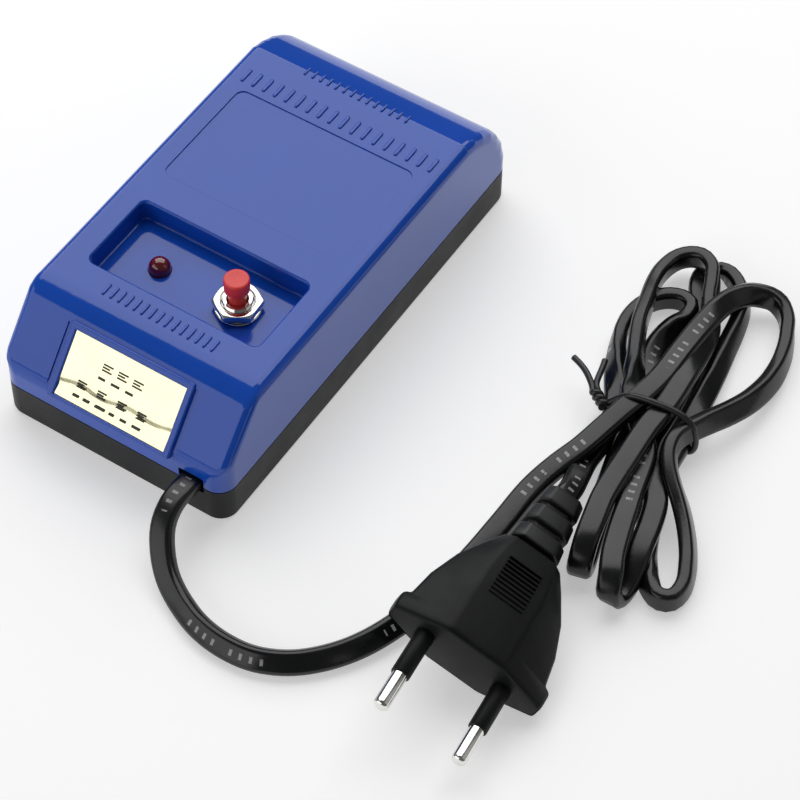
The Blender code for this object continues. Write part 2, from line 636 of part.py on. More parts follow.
def make_board():
    board = box("lamp_board", BOARD_LOW, BOARD_HIGH, PHENOLIC)
    boolean(board, "DIFFERENCE", rod("board_hole", BOARD_SCREW, 0.0, 0.01, 0.0012, sides=12))
    face = BOARD_HIGH[2] + CLEAR
    make_screw("board_screw", BOARD_SCREW, face, face + 0.0012, 0.0018, 0.0008, 0.0030)
    for name, y, radius, finish in (("dropper_resistor", -0.0285, 0.0015, BEIGE), ("lamp_diode", -0.0250, 0.0012, BLACK)):
        bm = bmesh.new()
        bmesh.ops.create_cone(bm, cap_ends=True, segments=16, radius1=radius, radius2=radius, depth=0.0075)
        turn = Matrix.Translation((-0.0130, y, face + radius)) @ Matrix.Rotation(math.pi / 2, 4, "Y")
        bmesh.ops.transform(bm, matrix=turn, verts=bm.verts)
        body = place(name, mesh_from(bm, name), finish)
        bevel(body, 0.0004, 2)


def make_wires():
    routes = {
        "wire_live": ((0.0190, -0.0442, 0.0100), (0.0170, -0.0400, 0.0085), (0.0150, -0.0335, 0.0077),
                      (0.0139, -0.0275, 0.0082), (0.0135, -0.0227, 0.0091)),
        "wire_neutral": ((0.0214, -0.0442, 0.0104), (0.0195, -0.0425, 0.0110), (0.0172, -0.0390, 0.0116),
                         (0.0158, -0.0270, 0.0130), (0.0158, -0.0120, 0.0140), (0.0158, 0.0040, 0.0145)),
        "wire_switched": ((0.0059, -0.0231, 0.0091), (0.0030, -0.0195, 0.0070), (0.0000, -0.0150, 0.0044), (-0.0065, -0.0118, 0.0042),
                          (-0.0125, -0.0095, 0.0070), (-0.0160, -0.0040, 0.0110), (-0.0158, 0.0050, 0.0145)),
        "wire_lamp": ((-0.0160, -0.0150, 0.0084), (-0.0172, -0.0110, 0.0095), (-0.0190, -0.0050, 0.0118),
                      (-0.0196, 0.0020, 0.0142), (-0.0188, 0.0090, 0.0150)),
    }
    for name, route in routes.items():
        tube(name, smooth_route(route, 4 * WIRE_RADIUS), WIRE_RADIUS, PVC if name == "wire_live" else BEIGE)


def make_clamp():
    x, foot, top = OUTLET[0], 0.0122, 0.0136
    bar = box("cord_clamp", (x - 0.0058, CLAMP_Y - 0.0020, foot), (x + 0.0058, CLAMP_Y + 0.0020, top), BLACK)
    holes = []
    for name, at in zip(("clamp_screw_left", "clamp_screw_right"), clamp_screws()):
        make_screw(name, at, top + CLEAR, top + 0.0014, 0.0015, 0.0008, 0.0060)
        holes.append(rod(f"{name}_hole", at, 0.01, 0.02, 0.00115, sides=12))
    boolean(bar, "DIFFERENCE", *holes)


# ---- mains lead and plug --------------------------------------------------------------------

def plug_matrix():
    pitch, roll, heading = PLUG_TURN
    turn = Matrix.Rotation(heading, 4, "Z") @ Matrix.Rotation(pitch, 4, "X") @ Matrix.Rotation(roll, 4, "Y")
    return Matrix.Translation(PLUG_AT) @ turn


def section_loft(name, sections, finish):
    """A solid through eight-cornered sections: (y, width, flat, thickness, edge thickness) along the plug."""
    bm = bmesh.new()
    rings = []
    for y, width, flat, thick, edge in sections:
        corners = ((width, edge), (flat, thick), (-flat, thick), (-width, edge),
                   (-width, -edge), (-flat, -thick), (flat, -thick), (width, -edge))
        rings.append([bm.verts.new((x / 2, y, z / 2)) for x, z in corners])
    for front, back in zip(rings, rings[1:]):
        for i in range(8):
            j = (i + 1) % 8
            bm.faces.new((front[i], front[j], back[j], back[i]))
    bm.faces.new(rings[0])
    bm.faces.new(reversed(rings[-1]))
    thing = place(name, mesh_from(bm, name), finish)
    thing.matrix_world = plug_matrix()
    return thing


def plug_rod(name, x, front, back, radius, finish, bore=0.0):
    bm = bmesh.new()
    bmesh.ops.create_cone(bm, cap_ends=True, segments=18, radius1=radius, radius2=radius, depth=back - front)
    turn = Matrix.Translation((x, (front + back) / 2, 0.0)) @ Matrix.Rotation(math.pi / 2, 4, "X")
    bmesh.ops.transform(bm, matrix=turn, verts=bm.verts)
    thing = place(name, mesh_from(bm, name), finish, cutter=finish is None)
    thing.matrix_world = plug_matrix()
    if bore:
        boolean(thing, "DIFFERENCE", plug_rod(f"{name}_bore", x, front - 0.002, back + 0.002, bore, None))
    return thing


def make_plug():
    body = section_loft("plug_body", (
        (0.0, 0.0346, 0.0124, 0.0130, 0.0040),
        (0.0008, 0.0352, 0.0130, 0.0137, 0.0044),
        (0.0042, 0.0352, 0.0130, 0.0137, 0.0044),
        (0.0046, 0.0322, 0.0130, 0.0137, 0.0056),
        (0.0110, 0.0300, 0.0130, 0.0137, 0.0060),
        (0.0180, 0.0252, 0.0130, 0.0134, 0.0064),
        (0.0240, 0.0186, 0.0116, 0.0122, 0.0068),
        (PLUG_BACK, 0.0136, 0.0096, 0.0106, 0.0068),
    ), BLACK)
    section_loft("plug_strain_relief", (
        (PLUG_BACK + 0.0003, 0.0118, 0.0080, 0.0096, 0.0056),
        (0.0340, 0.0112, 0.0076, 0.0092, 0.0052),
        (0.0400, 0.0098, 0.0066, 0.0082, 0.0046),
        (RELIEF_END, 0.0084, 0.0056, 0.0070, 0.0040),
    ), PVC)
    bores = []
    for side, word in ((-1, "left"), (1, "right")):
        x = side * PIN_SPACING / 2
        plug_rod(f"plug_pin_{word}", x, -PIN_LENGTH, 0.0060, PIN_RADIUS - 0.0004, NICKEL)
        plug_rod(f"plug_sleeve_{word}", x, -SLEEVE_LENGTH, -0.0003, PIN_RADIUS, BLACK, bore=PIN_RADIUS - 0.0001)
        bores.append(plug_rod(f"plug_bore_{word}", x, -0.002, 0.0064, PIN_RADIUS - 0.0001, None))
    boolean(body, "DIFFERENCE", *bores)


def make_lead():
    tube("cord_lead", smooth_route(LEAD_ROUTE, CORD_STEP), CORD_TUBE_RADIUS, PVC)
    tube("cord_tail", smooth_route(TAIL_ROUTE, CORD_STEP / 2), CORD_TUBE_RADIUS, PVC)
    extruded("cord_hank", HANK_OUTLINE, HANK_BOTTOM, HANK_TOP, PVC)
    half_x, half_z = TIE_HALF
    middle_z = TIE_CLEAR + TIE_RADIUS + half_z
    ring = []
    for k in range(32):
        angle = math.tau * k / 32
        c, s = math.cos(angle), math.sin(angle)
        ring.append((TIE_AT[0] + half_x * math.copysign(abs(c) ** 0.5, c), TIE_AT[1],
                     middle_z + half_z * math.copysign(abs(s) ** 0.5, s)))
    tube("cord_tie", ring, TIE_RADIUS, BLACK, closed=True)


make_case()
make_lamp()
make_switch()
make_coil()
make_board()
make_wires()
make_clamp()
make_plug()
make_lead()
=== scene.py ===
"""Looks of a bench demagnetiser: a blue and black case with a lamp and a push button, and a tied mains lead.

Each piece or group of like pieces has its own operator, and the stage has one too.
"""

import math

import bmesh
import bpy
from bpy.props import FloatProperty, FloatVectorProperty, IntProperty, PointerProperty
from mathutils import Matrix, Vector


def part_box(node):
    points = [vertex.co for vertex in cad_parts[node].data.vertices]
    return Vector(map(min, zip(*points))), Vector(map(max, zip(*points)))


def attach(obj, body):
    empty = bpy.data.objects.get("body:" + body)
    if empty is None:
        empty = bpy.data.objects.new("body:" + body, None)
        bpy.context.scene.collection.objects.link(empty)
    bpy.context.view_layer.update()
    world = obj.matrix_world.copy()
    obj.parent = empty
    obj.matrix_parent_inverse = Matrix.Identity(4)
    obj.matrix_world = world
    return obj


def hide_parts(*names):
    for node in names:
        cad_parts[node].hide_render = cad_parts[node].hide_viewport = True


bl_info = {
    "name": "Bench demagnetiser",
    "version": (1, 0, 0),
    "blender": (4, 5, 0),
    "location": "3D View > Sidebar > Demagnetiser",
    "description": "Builds the case, controls, lead and plug of a bench demagnetiser",
    "category": "Add Mesh",
}

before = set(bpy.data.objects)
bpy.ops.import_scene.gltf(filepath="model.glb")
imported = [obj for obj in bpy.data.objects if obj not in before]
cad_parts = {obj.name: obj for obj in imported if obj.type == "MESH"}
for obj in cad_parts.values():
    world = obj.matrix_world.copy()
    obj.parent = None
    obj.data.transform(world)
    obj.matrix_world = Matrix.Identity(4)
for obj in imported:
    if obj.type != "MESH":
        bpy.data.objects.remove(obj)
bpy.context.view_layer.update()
MM = 0.001

# ---- fixed layout, in metres ------------------------------------------------------------------

CASE_HIGH = Vector(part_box("top_shell")[1])
WIDTH = 2 * CASE_HIGH.x
LENGTH = 2 * CASE_HIGH.y
HEIGHT = CASE_HIGH.z
SEAM = 0.0094
SEAM_GAP = 0.0003
SLOPE_TOP_Y, SLOPE_FOOT_Z = -0.0429, 0.0155
CREASE_Y, BACK_FOOT_Z = 0.0375, 0.0128
POCKET_Y = -0.0224
POCKET_FLOOR = 0.0248
LAMP = (-0.0100, -0.0228)
BUTTON = (0.0097, -0.0225)
LABEL_DOWN = 0.0122
WALL = 0.0024
PANEL_HALF, PANEL_FRONT, PANEL_BACK, PANEL_DEPTH = 0.0226, -0.0042, 0.0251, 0.0003
CLEAR = 0.05  # a height above the whole case, where cutting tools end
NEAR = 0.0001  # how close to an edge a corner still counts as on it
POSTS = ((-0.0225, -0.0385), (0.0225, -0.0385), (-0.0225, 0.0465), (0.0225, 0.0465))
OUTLET = Vector((0.0202, -0.05525, 0.0100))
OUTLET_SIZE = (0.0062, 0.0046)
PLUG_AT = Vector((0.0896, -0.0614, 0.0092))
PLUG_TURN = (math.radians(-1.6), math.radians(21.9), math.radians(5.2))

# The lead's whole way from inside the case to the plug: x, y, z in millimetres and the tilt in degrees,
# which is 0 where the flat lead lies on its broad face and 90 where it stands on its narrow edge.
LEAD_OUT = (
    (20.2, -45.0, 10.0, 0), (20.2, -55.2, 10.0, 0), (20.1, -62.0, 9.5, 8), (21.0, -66.3, 7.7, 20),
    (23.5, -70.2, 5.3, 32), (27.4, -73.9, 3.4, 42), (32.9, -77.1, 2.5, 48), (38.8, -79.5, 2.4, 50),
    (45.4, -80.5, 2.4, 50), (52.3, -79.8, 2.4, 50), (58.7, -76.8, 2.4, 48), (63.7, -72.3, 2.4, 45),
    (68.0, -66.2, 2.4, 40), (71.2, -58.7, 2.3, 34), (74.5, -45.8, 2.2, 26), (75.6, -35.2, 2.1, 16),
    (76.4, -25.4, 2.8, 6), (77.3, -15.1, 4.1, 0), (79.2, -8.3, 5.5, 0), (81.5, -2.6, 6.9, 0),
    (83.3, 4.0, 8.1, 0), (85.0, 10.5, 9.2, 0),
)
FRONT_LOOP = (
    (86.0, 13.8, 9.5, 0), (87.0, 20.7, 9.4, 0), (86.9, 30.3, 8.8, 5), (87.1, 40.5, 8.1, 15),
    (87.8, 47.4, 7.4, 32), (89.9, 52.5, 6.4, 52), (92.7, 55.3, 5.2, 68), (95.9, 56.4, 4.2, 80),
    (99.4, 54.5, 3.3, 90), (102.3, 49.6, 2.9, 99), (104.2, 43.9, 2.9, 108), (105.1, 36.6, 3.5, 118),
    (104.3, 29.1, 4.6, 126), (102.4, 23.1, 5.6, 130), (100.5, 18.5, 6.6, 124), (98.8, 14.6, 7.2, 114),
    (97.2, 10.7, 7.4, 104), (97.3, 7.2, 7.3, 100),
)
RIGHT_LOOP = (
    (98.9, 3.8, 6.8, 104), (102.0, 0.4, 5.9, 110), (105.9, -3.2, 4.9, 114), (110.3, -8.4, 3.8, 112),
    (113.6, -13.9, 3.1, 108), (115.3, -19.0, 2.7, 100), (114.6, -22.6, 2.6, 95), (112.0, -23.6, 2.6, 95),
    (109.2, -21.8, 2.6, 110), (106.6, -18.8, 2.2, 140), (104.2, -14.8, 1.7, 172), (101.9, -9.4, 1.6, 180),
    (99.8, -4.6, 1.6, 180), (98.2, 0.6, 1.9, 180), (97.2, 6.2, 2.6, 180),
)
FAR_LOOP = (
    (96.8, 12.5, 3.1, 0), (96.0, 18.8, 3.3, 8), (94.9, 26.4, 2.8, 28), (93.9, 33.1, 2.6, 48),
    (92.6, 40.9, 2.6, 60), (91.3, 48.1, 2.6, 70), (89.5, 53.4, 2.6, 80), (85.9, 57.2, 2.6, 90),
    (83.3, 58.6, 2.6, 85), (80.9, 58.9, 2.3, 60), (78.9, 57.7, 1.8, 25), (78.5, 54.9, 1.6, 0),
    (80.0, 51.6, 1.6, 0), (83.0, 47.6, 1.6, 0), (86.6, 42.0, 1.6, 0), (88.7, 35.0, 1.6, 0),
    (90.0, 27.5, 1.8, 0), (91.3, 20.0, 2.5, 0), (92.0, 13.5, 3.1, 0),
)
MIDDLE_LOOP = (
    (92.4, 8.8, 3.2, 0), (94.0, 4.6, 3.6, 0), (97.2, 0.2, 4.5, 0), (100.8, -4.9, 5.0, 0),
    (102.6, -10.3, 5.2, 0), (103.9, -16.4, 5.3, 0), (104.9, -21.0, 4.2, 0), (105.3, -24.8, 2.7, 0),
    (105.0, -27.8, 2.5, 0), (104.5, -29.5, 4.4, 0), (104.0, -29.5, 6.6, 0), (103.1, -27.4, 8.4, 0),
    (101.4, -23.8, 8.7, 0), (99.3, -17.5, 8.4, 0), (97.7, -12.0, 8.0, 0), (96.2, -7.0, 7.4, 0),
    (94.8, -1.5, 6.8, 0), (93.2, 3.4, 6.4, 0), (90.2, 7.8, 6.3, 0), (86.6, 11.6, 6.3, 0),
)
BACK_LOOP = (
    (83.1, 15.7, 6.6, 10), (81.7, 18.9, 7.0, 35), (78.8, 24.8, 7.6, 70), (75.6, 31.5, 7.6, 80),
    (73.0, 39.9, 6.4, 85), (71.4, 45.5, 5.2, 90), (71.0, 50.2, 4.6, 90), (72.2, 54.5, 4.8, 90),
    (74.7, 56.6, 5.4, 90), (77.4, 57.0, 5.8, 90), (80.4, 55.3, 5.9, 94), (82.4, 51.9, 5.9, 102),
    (84.2, 48.0, 5.9, 112), (88.3, 39.6, 6.1, 135), (89.7, 32.4, 6.9, 152), (91.0, 22.5, 8.8, 172),
    (91.6, 15.5, 9.4, 180),
)
FRONT_FOLD = (
    (91.3, 7.5, 9.6, 0), (91.5, 2.5, 9.6, 0), (91.8, -2.5, 9.6, 0), (92.0, -7.4, 9.5, 0),
    (92.5, -12.8, 9.4, 0), (93.6, -18.0, 9.2, 0), (94.6, -22.6, 8.6, 0), (95.3, -25.2, 7.3, 0),
    (95.7, -26.8, 5.3, 0), (95.7, -26.6, 3.2, 0), (95.2, -24.2, 1.8, 0), (93.6, -19.0, 1.6, 0),
    (91.0, -10.0, 1.6, 0), (88.4, 0.0, 1.9, 0), (86.9, 7.0, 2.7, 0),
)
SHORT_LOOP = (
    (86.5, 13.0, 3.1, 0), (84.0, 19.5, 2.5, 5), (81.2, 26.0, 2.0, 12), (79.6, 32.5, 2.1, 25),
    (80.2, 38.5, 2.4, 50), (81.6, 42.6, 2.6, 78), (80.9, 45.8, 2.6, 90), (78.4, 46.8, 2.6, 90),
    (75.8, 46.0, 2.6, 90), (73.4, 43.9, 2.6, 90), (71.4, 40.0, 2.6, 90), (70.9, 36.3, 2.6, 90),
    (71.3, 32.1, 2.6, 85), (72.5, 28.4, 2.6, 75), (74.8, 23.7, 2.9, 55), (77.5, 19.1, 3.3, 30),
    (80.2, 14.6, 3.4, 8), (81.9, 10.6, 3.2, 0), (82.4, 6.4, 3.1, 0),
)
TAIL = (
    (82.7, 2.3, 3.2, 0), (83.1, -3.2, 4.1, -6), (84.3, -8.6, 5.9, -14), (85.2, -12.9, 7.1, -22),
)
LEAD_POINTS = (LEAD_OUT + FRONT_LOOP + RIGHT_LOOP + FAR_LOOP + MIDDLE_LOOP + BACK_LOOP + FRONT_FOLD
               + SHORT_LOOP + TAIL)
LEAD_INTO_PLUG = (0.0462, 0.0420, 0.0360)
LEAD_STEP = 0.0013
FLOOR_GAP = 0.00005

# The wire tie, in millimetres: the ring round the hank, and where each end goes on to from their twist.
TIE_RING = (
    (79.8, 10.6, 6.3), (82.0, 11.5, 9.2), (84.4, 11.9, 11.4), (87.4, 12.2, 11.9), (91.5, 12.8, 11.9),
    (95.2, 13.4, 11.4), (98.4, 13.4, 10.2), (99.9, 13.1, 7.6), (100.5, 12.6, 4.2), (99.6, 12.2, 1.7),
    (96.5, 12.4, 1.0), (90.0, 12.9, 0.9), (83.0, 13.0, 0.9), (79.0, 12.8, 1.2), (77.3, 12.2, 2.9),
    (77.9, 11.4, 4.8),
)
TIE_ENDS = (
    ((75.4, 12.8, 6.3), (73.0, 14.9, 6.6), (70.7, 16.4, 6.8), (67.8, 17.5, 6.5)),
    ((75.6, 13.4, 6.7), (74.9, 15.6, 6.6), (74.5, 17.9, 6.5), (73.7, 20.6, 6.2)),
)
TWIST_START, TWIST_STOP = Vector((79.9, 9.8, 6.4)), Vector((76.3, 12.0, 6.5))
TWIST_TURNS, TWIST_RADIUS, TWIST_STEPS = 1.5, 0.72, 24


# ---- settings a user would change ---------------------------------------------------------------

def colour_setting(name, description, default):
    return FloatVectorProperty(name=name, description=description, default=default, subtype="COLOR",
                               size=3, min=0.0, max=1.0)


def length_setting(name, description, default):
    return FloatProperty(name=name, description=description, default=default, unit="LENGTH",
                         subtype="DISTANCE", min=0.0, precision=5)


class CaseSettings(bpy.types.PropertyGroup):
    corner: length_setting("Upright corners", "Radius of the case's four upright corners", 0.0042)
    edge_round: length_setting("Side edges", "Width of the rounding along the top's side edges", 0.0023)
    pocket_width: length_setting("Pocket width", "Width of the control pocket", 0.0426)
    pocket_depth: length_setting("Pocket depth", "Front to back size of the control pocket", 0.0196)
    label_width: length_setting("Label width", "Width of the name label", 0.0276)
    label_height: length_setting("Label height", "Height of the name label along the slope", 0.0144)
    mark_rise: length_setting("Mark rise", "Height of the raised marks above the case", 0.00035)
    blue: colour_setting("Top colour", "Colour of the upper case", (0.0060, 0.070, 0.460))
    black: colour_setting("Base colour", "Colour of the lower case", (0.0125, 0.0130, 0.0140))
    gold: colour_setting("Label colour", "Colour of the label's foil", (0.93, 0.89, 0.60))


class ControlSettings(bpy.types.PropertyGroup):
    cap_radius: length_setting("Cap radius", "Radius of the push button's cap", 0.00275)
    lens_radius: length_setting("Lamp radius", "Radius of the lamp's body", 0.00245)
    nut_flats: length_setting("Nut across flats", "Size of the button's nut across its flats", 0.0096)
    red: colour_setting("Button colour", "Colour of the push button", (0.90, 0.040, 0.036))
    lens: colour_setting("Lamp colour", "Colour of the unlit lamp", (0.20, 0.004, 0.010))
    plated: colour_setting("Plating colour", "Colour of the nickel plate", (0.80, 0.79, 0.76))


class LeadSettings(bpy.types.PropertyGroup):
    lead_width: length_setting("Lead width", "Broad size of the flat lead", 0.0052)
    lead_thick: length_setting("Lead thickness", "Narrow size of the flat lead", 0.0032)
    lead_corner: length_setting("Lead corner", "Radius of the lead's corners", 0.00115)
    wire: length_setting("Tie wire", "Radius of the tie's coated wire", 0.0007)
    ribs: IntProperty(name="Grip ribs", description="Number of grip ribs on the plug", default=10, min=0)
    pvc: colour_setting("Lead colour", "Colour of the lead's sheath", (0.0055, 0.006, 0.0062))
    plug: colour_setting("Plug colour", "Colour of the plug's body", (0.0048, 0.0056, 0.0054))
    ink: colour_setting("Ink colour", "Colour of the marks along the lead", (0.30, 0.30, 0.29))


class StageSettings(bpy.types.PropertyGroup):
    floor: colour_setting("Floor colour", "Colour of the floor", (0.74, 0.74, 0.74))
    key: FloatProperty(name="Key light", description="Power of the large soft light", default=9.2,
                       min=0.0, unit="POWER")
    fill: FloatProperty(name="Fill light", description="Power of the soft light from the front", default=3.3,
                        min=0.0, unit="POWER")
    sky: FloatProperty(name="Surround", description="Brightness of the surround", default=0.11, min=0.0)
    glow: FloatProperty(name="Floor glow", description="Light given off by the floor, as a lit table does",
                        default=0.42, min=0.0)


# ---- finishes -------------------------------------------------------------------------------------

FINISHES = {}


def node(tree, kind, at=(0, 0), **inputs):
    made = tree.nodes.new(kind)
    made.location = at
    for key, value in inputs.items():
        made.inputs[key.replace("_", " ")].default_value = value
    return made


def finish(name, colour, roughness, metallic=0.0, *, mottle, mottle_scale, grain_scale, grain_depth,
           rough_spread=0.05, stretch=(1, 1, 1), coat=0.0, transmission=0.0, ior=1.5, tint=None, speck=0.0):
    """A moulded, plated or drawn finish: cloudy tone, uneven gloss and fine surface relief.

    mottle: how far the tone drifts. grain_depth: height of the surface's relief in metres. stretch: drawn-out
    grain along an axis. tint: a second colour that the clouds drift to. speck: share of light dust specks.
    """
    if name in FINISHES:
        return FINISHES[name]
    made = bpy.data.materials.new(name)
    made.use_nodes = True
    tree = made.node_tree
    tree.nodes.clear()
    output = node(tree, "ShaderNodeOutputMaterial", (700, 0))
    shader = node(tree, "ShaderNodeBsdfPrincipled", (400, 0))
    shader.inputs["Metallic"].default_value = metallic
    shader.inputs["IOR"].default_value = ior
    shader.inputs["Coat Weight"].default_value = coat
    shader.inputs["Coat Roughness"].default_value = 0.05
    shader.inputs["Transmission Weight"].default_value = transmission
    tree.links.new(shader.outputs[0], output.inputs[0])
    coords = node(tree, "ShaderNodeTexCoord", (-1000, 0))
    spread = node(tree, "ShaderNodeMapping", (-820, 0))
    spread.inputs["Scale"].default_value = stretch
    tree.links.new(coords.outputs["Object"], spread.inputs[0])
    clouds = node(tree, "ShaderNodeTexNoise", (-600, 260), Scale=mottle_scale, Detail=4.0, Roughness=0.6)
    grain = node(tree, "ShaderNodeTexNoise", (-600, -160), Scale=grain_scale, Detail=3.0, Roughness=0.55)
    tree.links.new(spread.outputs[0], clouds.inputs["Vector"])
    tree.links.new(spread.outputs[0], grain.inputs["Vector"])
    tone = node(tree, "ShaderNodeValToRGB", (-360, 260))
    other = tint or tuple(c * (1 + mottle) for c in colour)
    tone.color_ramp.elements[0].position = 0.32
    tone.color_ramp.elements[1].position = 0.70
    tone.color_ramp.elements[0].color = (*(c * (1 - mottle) for c in colour), 1)
    tone.color_ramp.elements[1].color = (*other, 1)
    tree.links.new(clouds.outputs["Fac"], tone.inputs[0])
    last = tone.outputs[0]
    if speck:
        dust = node(tree, "ShaderNodeTexVoronoi", (-600, 560), Scale=700.0)
        small = node(tree, "ShaderNodeMath", (-360, 560))
        small.operation = "LESS_THAN"
        small.inputs[1].default_value = speck
        mixed = node(tree, "ShaderNodeMix", (-60, 300))
        mixed.data_type = "RGBA"
        tree.links.new(coords.outputs["Object"], dust.inputs["Vector"])
        tree.links.new(dust.outputs["Distance"], small.inputs[0])
        tree.links.new(small.outputs[0], mixed.inputs["Factor"])
        tree.links.new(last, mixed.inputs[6])
        mixed.inputs[7].default_value = (*(min(1.0, c * 1.6 + 0.02) for c in colour), 1)
        last = mixed.outputs[2]
    tree.links.new(last, shader.inputs["Base Color"])
    gloss = node(tree, "ShaderNodeMapRange", (-60, 20))
    gloss.inputs["From Min"].default_value = 0.35
    gloss.inputs["From Max"].default_value = 0.65
    gloss.inputs["To Min"].default_value = max(0.02, roughness - rough_spread)
    gloss.inputs["To Max"].default_value = min(1.0, roughness + rough_spread)
    tree.links.new(clouds.outputs["Fac"], gloss.inputs["Value"])
    tree.links.new(gloss.outputs[0], shader.inputs["Roughness"])
    bump = node(tree, "ShaderNodeBump", (100, -220), Strength=0.5, Distance=grain_depth)
    tree.links.new(grain.outputs["Fac"], bump.inputs["Height"])
    tree.links.new(bump.outputs[0], shader.inputs["Normal"])
    FINISHES[name] = made
    return made


def maths(tree, operation, a, b=None):
    made = node(tree, "ShaderNodeMath")
    made.operation = operation
    for socket, value in zip(made.inputs, (a, b)):
        if isinstance(value, bpy.types.NodeSocket):
            tree.links.new(value, socket)
        elif value is not None:
            socket.default_value = value
    return made.outputs[0]


def printed_pvc(name, colour, ink):
    """Glossy sheath with small plain bars printed along one broad face, laid out on the lead's own UV map."""
    made = finish(name, colour, 0.24, mottle=0.10, mottle_scale=90, grain_scale=1400, grain_depth=0.00003,
                  rough_spread=0.07)
    tree = made.node_tree
    shader = next(n for n in tree.nodes if n.type == "BSDF_PRINCIPLED")
    base = shader.inputs["Base Color"].links[0].from_socket
    uv = node(tree, "ShaderNodeUVMap", (-1400, 700))
    uv.uv_map = "run"
    parts = node(tree, "ShaderNodeSeparateXYZ", (-1200, 700))
    tree.links.new(uv.outputs[0], parts.inputs[0])
    along, around = parts.outputs[0], parts.outputs[1]
    group = maths(tree, "LESS_THAN", maths(tree, "FRACT", maths(tree, "DIVIDE", along, 0.0430)), 0.46)
    dash = maths(tree, "LESS_THAN", maths(tree, "FRACT", maths(tree, "DIVIDE", along, 0.0021)), 0.30)
    word = maths(tree, "LESS_THAN", maths(tree, "FRACT", maths(tree, "DIVIDE", along, 0.0108)), 0.78)
    band = maths(tree, "LESS_THAN", maths(tree, "ABSOLUTE", maths(tree, "SUBTRACT", around, 0.22)), 0.046)
    wear = node(tree, "ShaderNodeTexNoise", (-900, 900), Scale=1800.0, Detail=2.0)
    coords = node(tree, "ShaderNodeTexCoord", (-1100, 900))
    tree.links.new(coords.outputs["Object"], wear.inputs["Vector"])
    kept = maths(tree, "GREATER_THAN", wear.outputs["Fac"], 0.36)
    shown = maths(tree, "MULTIPLY", maths(tree, "MULTIPLY", group, dash), maths(tree, "MULTIPLY", word, band))
    shown = maths(tree, "MULTIPLY", shown, kept)
    mixed = node(tree, "ShaderNodeMix", (200, 400))
    mixed.data_type = "RGBA"
    tree.links.new(shown, mixed.inputs["Factor"])
    tree.links.new(base, mixed.inputs[6])
    mixed.inputs[7].default_value = (*ink, 1)
    tree.links.new(mixed.outputs[2], shader.inputs["Base Color"])
    return made


def finish_for(slot):
    """The finish of one of the record's material slots."""
    scene = bpy.context.scene
    case, control, lead = scene.demag_case, scene.demag_control, scene.demag_lead
    made = {
        "case_blue": lambda: finish("blue_gloss_plastic", case.blue, 0.085, mottle=0.05, mottle_scale=35,
                                    grain_scale=900, grain_depth=0.000012, rough_spread=0.02, speck=0.012,
                                    ior=1.52),
        "case_black": lambda: finish("satin_black_plastic", case.black, 0.46, mottle=0.10, mottle_scale=70,
                                     grain_scale=5200, grain_depth=0.00006, rough_spread=0.06, speck=0.03,
                                     ior=1.29),
        "gold_label": lambda: finish("gold_foil", case.gold, 0.13, metallic=1.0, mottle=0.05, mottle_scale=90,
                                     grain_scale=300, grain_depth=0.000030, rough_spread=0.03),
        "lamp_red": lambda: finish("red_lamp_epoxy", control.lens, 0.06, mottle=0.15, mottle_scale=300,
                                   grain_scale=900, grain_depth=0.000004, rough_spread=0.02, coat=1.0,
                                   transmission=0.35),
        "button_red": lambda: finish("red_button_plastic", control.red, 0.30, mottle=0.06, mottle_scale=300,
                                     grain_scale=5200, grain_depth=0.00002, tint=(0.84, 0.060, 0.052)),
        "nickel": lambda: finish("nickel_plate", control.plated, 0.12, metallic=1.0, mottle=0.06,
                                 mottle_scale=420, grain_scale=2600, grain_depth=0.000010,
                                 rough_spread=0.05),
        "zinc_steel": lambda: finish("zinc_plate", (0.55, 0.56, 0.58), 0.36, metallic=1.0, mottle=0.14,
                                     mottle_scale=500, grain_scale=4200, grain_depth=0.00002,
                                     tint=(0.60, 0.58, 0.50)),
        "core_steel": lambda: finish("core_laminations", (0.24, 0.24, 0.25), 0.42, metallic=1.0, mottle=0.30,
                                     mottle_scale=300, grain_scale=420, grain_depth=0.00012,
                                     stretch=(1, 0.02, 0.02)),
        "copper": lambda: finish("copper_wire", (0.70, 0.33, 0.16), 0.28, metallic=1.0, mottle=0.18,
                                 mottle_scale=600, grain_scale=700, grain_depth=0.00012,
                                 stretch=(0.05, 0.05, 1.0)),
        "board": lambda: finish("phenolic_board", (0.32, 0.19, 0.08), 0.55, mottle=0.22, mottle_scale=240,
                                grain_scale=3200, grain_depth=0.00003, stretch=(0.2, 1, 1)),
        "nylon": lambda: finish("natural_nylon", (0.76, 0.74, 0.67), 0.48, mottle=0.05, mottle_scale=120,
                                grain_scale=2200, grain_depth=0.00002),
        "component": lambda: finish("lacquered_body", (0.55, 0.45, 0.30), 0.40, mottle=0.12, mottle_scale=900,
                                    grain_scale=3200, grain_depth=0.00002),
        "wire_pvc": lambda: finish("wire_sheath", (0.10, 0.012, 0.012), 0.38, mottle=0.10, mottle_scale=300,
                                   grain_scale=2600, grain_depth=0.00002, tint=(0.13, 0.02, 0.018)),
        "lead_pvc": lambda: finish("relief_pvc", lead.plug, 0.42, mottle=0.12, mottle_scale=160,
                                   grain_scale=4200, grain_depth=0.00005),
        "plug_black": lambda: finish("matt_plug_black", lead.plug, 0.44, mottle=0.14, mottle_scale=140,
                                     grain_scale=4600, grain_depth=0.00007, speck=0.02, ior=1.29),
        "tie_black": lambda: finish("tie_coating", (0.016, 0.016, 0.017), 0.34, mottle=0.15, mottle_scale=500,
                                    grain_scale=1500, grain_depth=0.00004),
    }
    return made[slot]()


# ---- making pieces ----------------------------------------------------------------------------------

def shade(mesh, sharp):
    for face in mesh.polygons:
        face.use_smooth = True
    mesh.set_sharp_from_angle(angle=math.radians(sharp))


